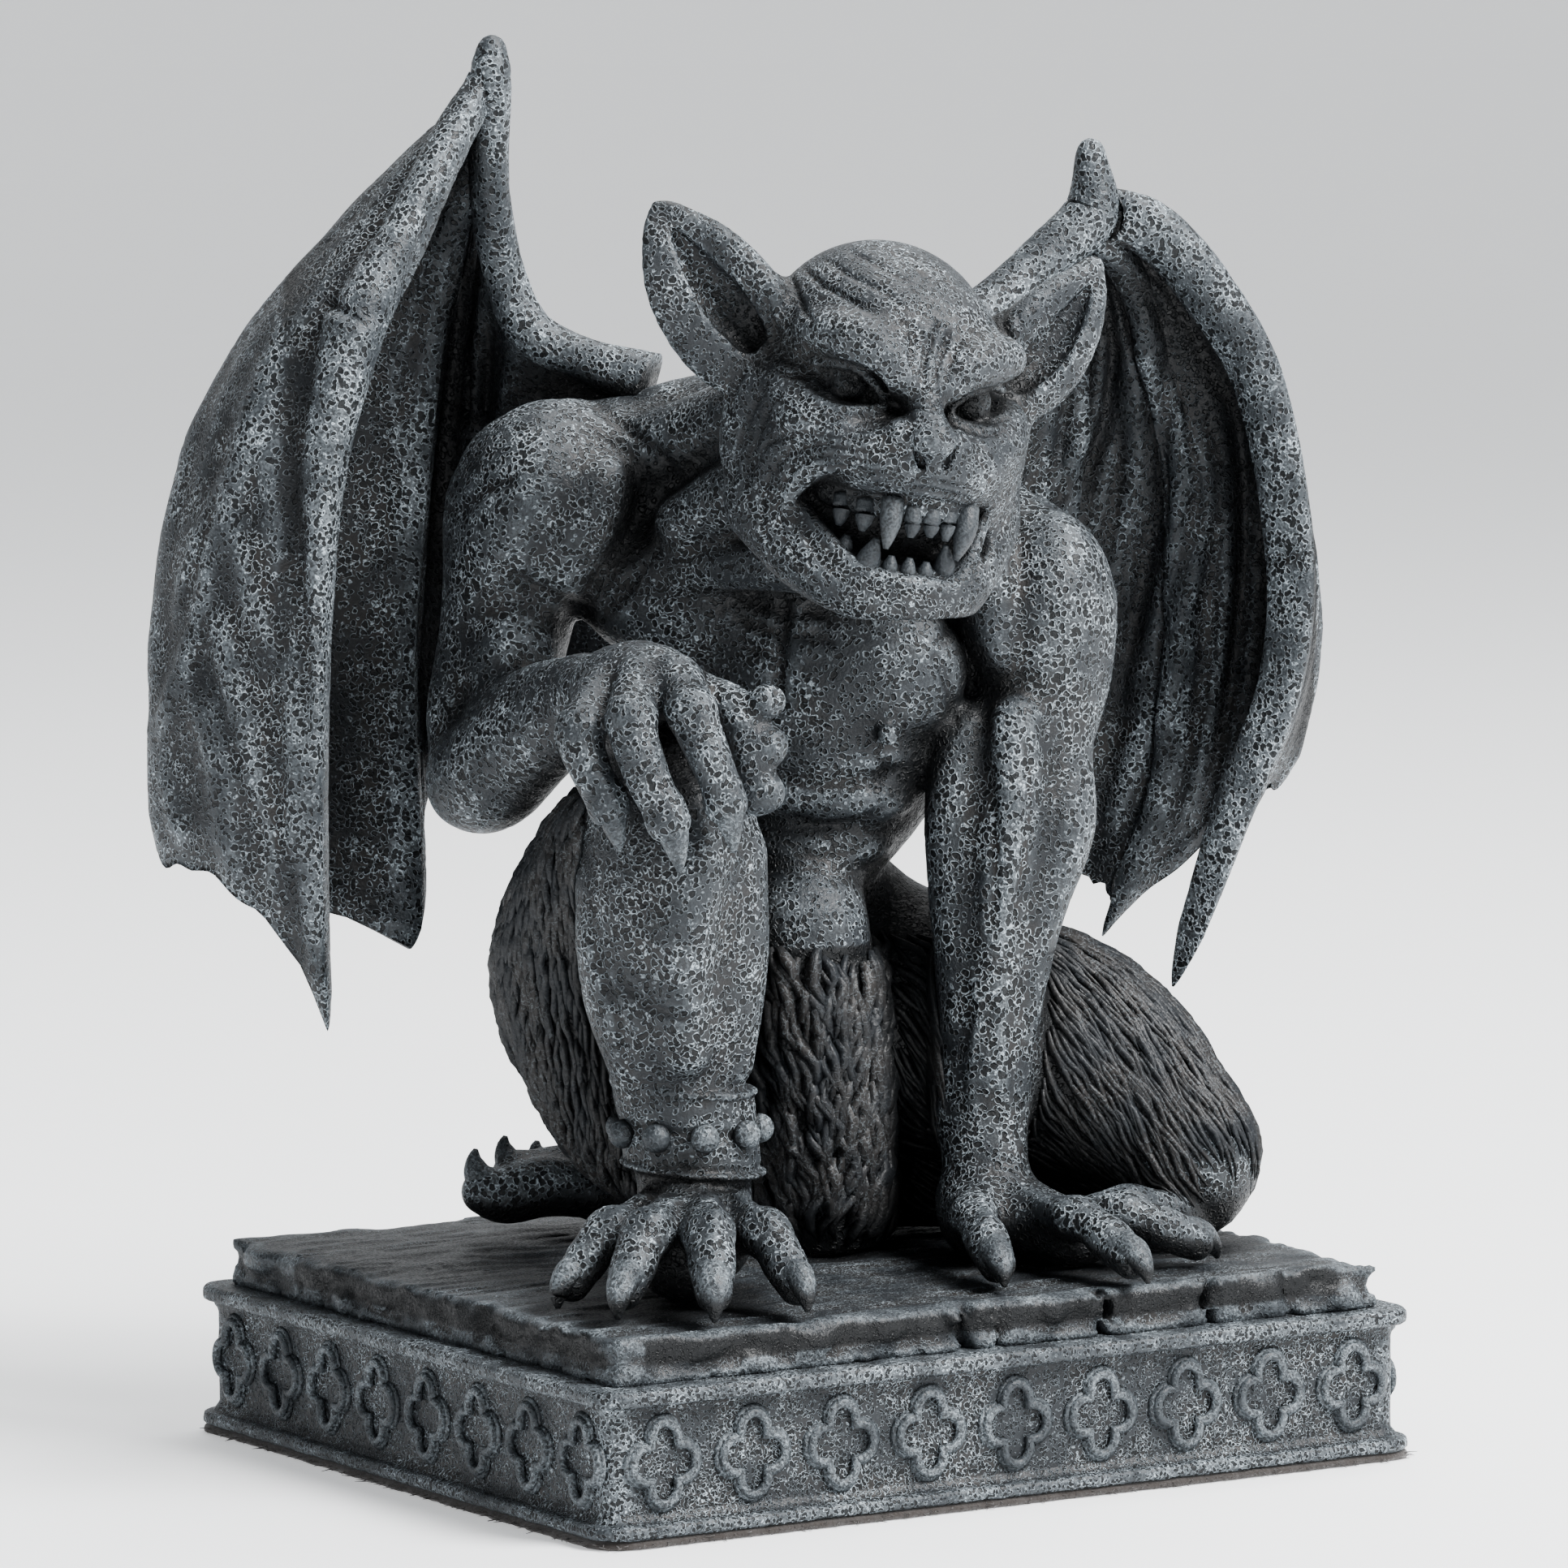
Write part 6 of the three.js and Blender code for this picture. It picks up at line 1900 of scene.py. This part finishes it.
class GARGOYLE_OT_plinth(bpy.types.Operator):
    """Makes the plinth: frieze and mouldings, medallions and the rough slab"""

    bl_idname = "gargoyle.plinth"
    bl_label = "Plinth"

    def execute(self, context):
        vertices, quads = plinth_frieze()
        self.write("plinth_frieze", vertices, quads, 1.0)
        vertices, quads, _ = medallion_rows()
        vertices = vertices + faces_normals(vertices, quads) * (0.05 * swells(vertices, 1.5, 31))[:, None]
        self.write("plinth_medallions", vertices, quads, 0.35, 0.2)
        vertices, quads = slab_skin()
        self.write("plinth_slab", vertices, quads, 0.35)
        return {"FINISHED"}

    def write(self, name, vertices, quads, pitted, brighter=0.0):
        figure = turned(vertices, -FIGURE_TURN)
        surroundings = Shared.ready().surroundings
        normals = faces_normals(vertices, quads)
        stands = edges_standing(vertices, quads, normals)
        # The slab's top round the figure is darkened by how enclosed it is: a painted shadow of the figure.
        values = {
            "stands_out": np.clip(0.5 + brighter + 2.2 * stands, 0, 1),
            "recess": np.where(
                vertices[:, 2] > 22, 0.8 * surroundings.recess(figure, turned(normals, -FIGURE_TURN), 6.0), 0.0
            ),
            "pitted": np.full(len(vertices), pitted),
        }
        if name == "plinth_slab":
            values["recess"] = np.clip(values["recess"] - 0.1, 0, 1)
        to_mesh(name, vertices, quads, Shared.stone("plinth"), "plinth", values)


class GARGOYLE_OT_felt(bpy.types.Operator):
    """Makes the felt under the foot, with loose fibres at its edge"""

    bl_idname = "gargoyle.felt"
    bl_label = "Felt"

    def execute(self, context):
        profile = [(-2, 0.0), (1.2, 0.0), (1.75, 0.1), (1.95, 0.5), (1.75, 0.95), (1.2, 1.15), (-2, 1.1)]
        vertices, quads = moulded(profile, FRIEZE["width"], FRIEZE["depth"], FRIEZE["corner"], 420)
        edge = (vertices[:, 2] > 0.05) & (vertices[:, 2] < 1.0)
        vertices[:, :2] *= 1 + 0.004 * (edge * rough(vertices, 1.6, 3, 61))[:, None]
        points, normals = round_rectangle(FRIEZE["width"], FRIEZE["depth"], FRIEZE["corner"], 900)
        rng = np.random.default_rng(8)
        count = len(points)
        start = np.concatenate([points + normals * 1.5, rng.uniform(0.2, 0.8, (count, 1))], axis=1)
        way = np.concatenate([normals, np.zeros((count, 1))], axis=1)
        aside = np.stack([-way[:, 1], way[:, 0], 0 * way[:, 0]], axis=1) * rng.normal(0, 0.8, (count, 1))
        reach = rng.uniform(0.4, 1.5, (count, 1, 1)) * np.linspace(0, 1, 4)[None, :, None]
        curve = np.linspace(0, 1, 4)[None, :, None] ** 2 * rng.normal(0, 0.5, (count, 1, 3)) * (1, 1, 0.3)
        path = start[:, None] + (way + aside)[:, None] * reach + curve
        path[..., 2] = np.clip(path[..., 2], 0.12, 1.1)
        limit = np.array(CAD_BOX)[:, :2] / MM
        path[..., :2] = np.clip(path[..., :2], limit[0] - 1.5, limit[1] + 1.5)
        radii = np.full(path.shape[:2], 0.07) * np.array([1, 1, 0.8, 0.4])
        fibres, fibre_quads = swept(path, radii, 4)
        v, q, _ = joined([(vertices, quads, {}), (fibres, fibre_quads, {})])
        material = felt_material(tuple(settings().felt_colour) + (1.0,))
        to_mesh("felt_under_foot", v, q, material, "felt_pad")
        return {"FINISHED"}


class GARGOYLE_OT_stage(bpy.types.Operator):
    """Makes the pale floor, the lights and the camera"""

    bl_idname = "gargoyle.stage"
    bl_label = "Stage"

    def execute(self, context):
        s = settings().stage
        self.floor(s)
        self.lights(s)
        self.camera()
        return {"FINISHED"}

    def floor(self, s):
        """The paper lies flat, then bends up in a quarter circle and rises."""
        bend = np.linspace(0, np.pi / 2, 16)
        curve = np.stack([2.4 + 1.2 * np.sin(bend), 1.2 - 1.2 * np.cos(bend)], axis=1)
        path = np.concatenate([[(-1.6, 0.0)], curve, [(3.6, 3.2)]])
        turn = math.radians(CAMERA_AZIMUTH)
        ahead = np.array([-math.sin(turn), math.cos(turn)])
        aside = np.array([ahead[1], -ahead[0]])
        wide = np.linspace(-4, 4, 9)
        x = path[:, :1] * ahead[0] + wide * aside[0]
        y = path[:, :1] * ahead[1] + wide * aside[1]
        z = np.broadcast_to(path[:, 1:], x.shape)
        vertices = np.stack([x, y, z], axis=-1).reshape(-1, 3)
        mesh = bpy.data.meshes.new("stage_floor")
        mesh.from_pydata(vertices.tolist(), [], grid_faces(len(path), len(wide)).tolist())
        n = Nodes("stage_paper")
        place = n.add("ShaderNodeTexCoord").outputs["Object"]
        grain = n.noise(place, 60.0, 3.0)
        pale = tuple(s.floor_colour) + (1.0,)
        n.put(n.shader, "Base Color", n.mix(n.math("MULTIPLY", grain, 0.06), pale, (0.5, 0.5, 0.5, 1.0)))
        n.put(n.shader, "Roughness", n.ramp(grain, 0.3, 0.7, 0.75, 0.9))
        n.put(n.shader, "Emission Color", pale)
        n.put(n.shader, "Emission Strength", s.paper_glow)
        mesh.materials.append(n.material)
        floor = bpy.data.objects.new("stage_floor", mesh)
        bpy.context.scene.collection.objects.link(floor)

    def lights(self, s):
        for name, at, aim, size, power in (
            ("key", (0.42, -0.75, 0.95), (0.0, 0.0, 0.09), 0.55, s.key_light),
            ("top", (0.35, 0.25, 1.1), (0.0, 0.0, 0.08), 0.7, s.top_light),
            ("fill", (-1.1, -0.9, 0.5), (0.0, 0.0, 0.09), 0.9, s.fill_light),
        ):
            data = bpy.data.lights.new(name, "AREA")
            data.size, data.energy = size, power
            lamp = bpy.data.objects.new(name, data)
            lamp.location = at
            away = np.array(at) - np.array(aim)
            lamp.rotation_euler = Vector(away).to_track_quat("Z", "Y").to_euler()
            bpy.context.scene.collection.objects.link(lamp)
        world = bpy.data.worlds.new("studio")
        world.use_nodes = True
        back = world.node_tree.nodes["Background"]
        back.inputs["Color"].default_value = tuple(s.sky_colour) + (1.0,)
        back.inputs["Strength"].default_value = s.sky_light
        bpy.context.scene.world = world

    def camera(self):
        data = bpy.data.cameras.new("camera")
        data.sensor_width = SENSOR
        data.lens = FOCAL_PIXELS * SENSOR / PICTURE_SIDE
        data.clip_end = 20
        camera = bpy.data.objects.new("camera", data)
        right, up, forward = camera_axes()
        rows = np.eye(4)
        rows[:3, 0], rows[:3, 1], rows[:3, 2] = right, up, -forward
        rows[:3, 3] = np.array(CAMERA_AT) * MM
        camera.matrix_world = Matrix(rows.tolist())
        bpy.context.scene.collection.objects.link(camera)
        bpy.context.scene.camera = camera


def colour(name, description, default):
    return FloatVectorProperty(name=name, description=description, default=default, subtype="COLOR", min=0, max=1)


class StoneFinish(bpy.types.PropertyGroup):
    base: colour("Base", "Dark grey of the casting", (0.009, 0.0105, 0.0125))
    warm: colour("Warm patches", "Brownish grey that shows through in places", (0.014, 0.013, 0.0125))
    mid: colour("Mid grey", "Grey of the flat faces that catch the brush", (0.022, 0.026, 0.03))
    pale: colour("Brushed", "Pale blue grey on rims and edges", (0.40, 0.47, 0.52))
    # The wash colour is also the colour of the painted shade in hollows and next to other parts.
    dark: colour("Wash", "Near black in pits and hollows", (0.0025, 0.003, 0.0035))
    pit_size: FloatProperty(name="Pit size", description="Scale of the pits", default=1.0, min=0.2)
    pit_depth: FloatProperty(name="Pit depth", description="Scale of the pits' depth", default=1.0, min=0)
    gloss: FloatProperty(name="Roughness", description="Lowest roughness of the finish", default=0.38, min=0, max=1)
    shine: FloatProperty(name="Specular", description="Strength of the shine", default=0.22, min=0, max=1)


class StageSettings(bpy.types.PropertyGroup):
    paper_glow: FloatProperty(name="Paper glow", description="Light the paper gives", default=0.52, min=0)
    floor_colour: colour("Floor", "Colour of the floor and backdrop", (0.86, 0.87, 0.88))
    sky_colour: colour("Sky", "Colour of the even light", (0.92, 0.96, 1.0))
    sky_light: FloatProperty(name="Even light", description="Strength of the even light", default=0.34, min=0)
    key_light: FloatProperty(name="Key", description="Power of the main light in watts", default=58.0, min=0)
    top_light: FloatProperty(name="Top", description="Power of the light above in watts", default=14.0, min=0)
    fill_light: FloatProperty(name="Fill", description="Power of the weak light in watts", default=2.0, min=0)


class GargoyleStatue(bpy.types.PropertyGroup):
    finish: PointerProperty(type=StoneFinish, name="Finish", description="Colours of the casting")
    stage: PointerProperty(type=StageSettings, name="Stage", description="Floor and lights")
    felt_colour: colour("Felt", "Colour of the felt", (0.03, 0.022, 0.018))


OPERATORS = (
    GARGOYLE_OT_head,
    GARGOYLE_OT_body,
    GARGOYLE_OT_hands,
    GARGOYLE_OT_fur,
    GARGOYLE_OT_wings,
    GARGOYLE_OT_plinth,
    GARGOYLE_OT_felt,
    GARGOYLE_OT_stage,
)


class GARGOYLE_PT_panel(bpy.types.Panel):
    """Lists the pieces of the statue and its finish"""

    bl_label = "Kneeling gargoyle"
    bl_idname = "GARGOYLE_PT_panel"
    bl_space_type = "VIEW_3D"
    bl_region_type = "UI"
    bl_category = "Gargoyle"

    def draw(self, context):
        layout = self.layout
        for operator in OPERATORS:
            layout.operator(operator.bl_idname)
        for group in (settings().finish, settings().stage):
            for key in group.__annotations__:
                layout.prop(group, key)


CLASSES = (StoneFinish, StageSettings, GargoyleStatue) + OPERATORS + (GARGOYLE_PT_panel,)


def register():
    for cls in CLASSES:
        bpy.utils.register_class(cls)
    bpy.types.Scene.gargoyle_statue = PointerProperty(type=GargoyleStatue)


def unregister():
    del bpy.types.Scene.gargoyle_statue
    for cls in reversed(CLASSES):
        bpy.utils.unregister_class(cls)


def main():
    register()
    for operator in OPERATORS:
        group, name = operator.bl_idname.split(".")
        getattr(getattr(bpy.ops, group), name)()


if __name__ == "__main__":
    main()
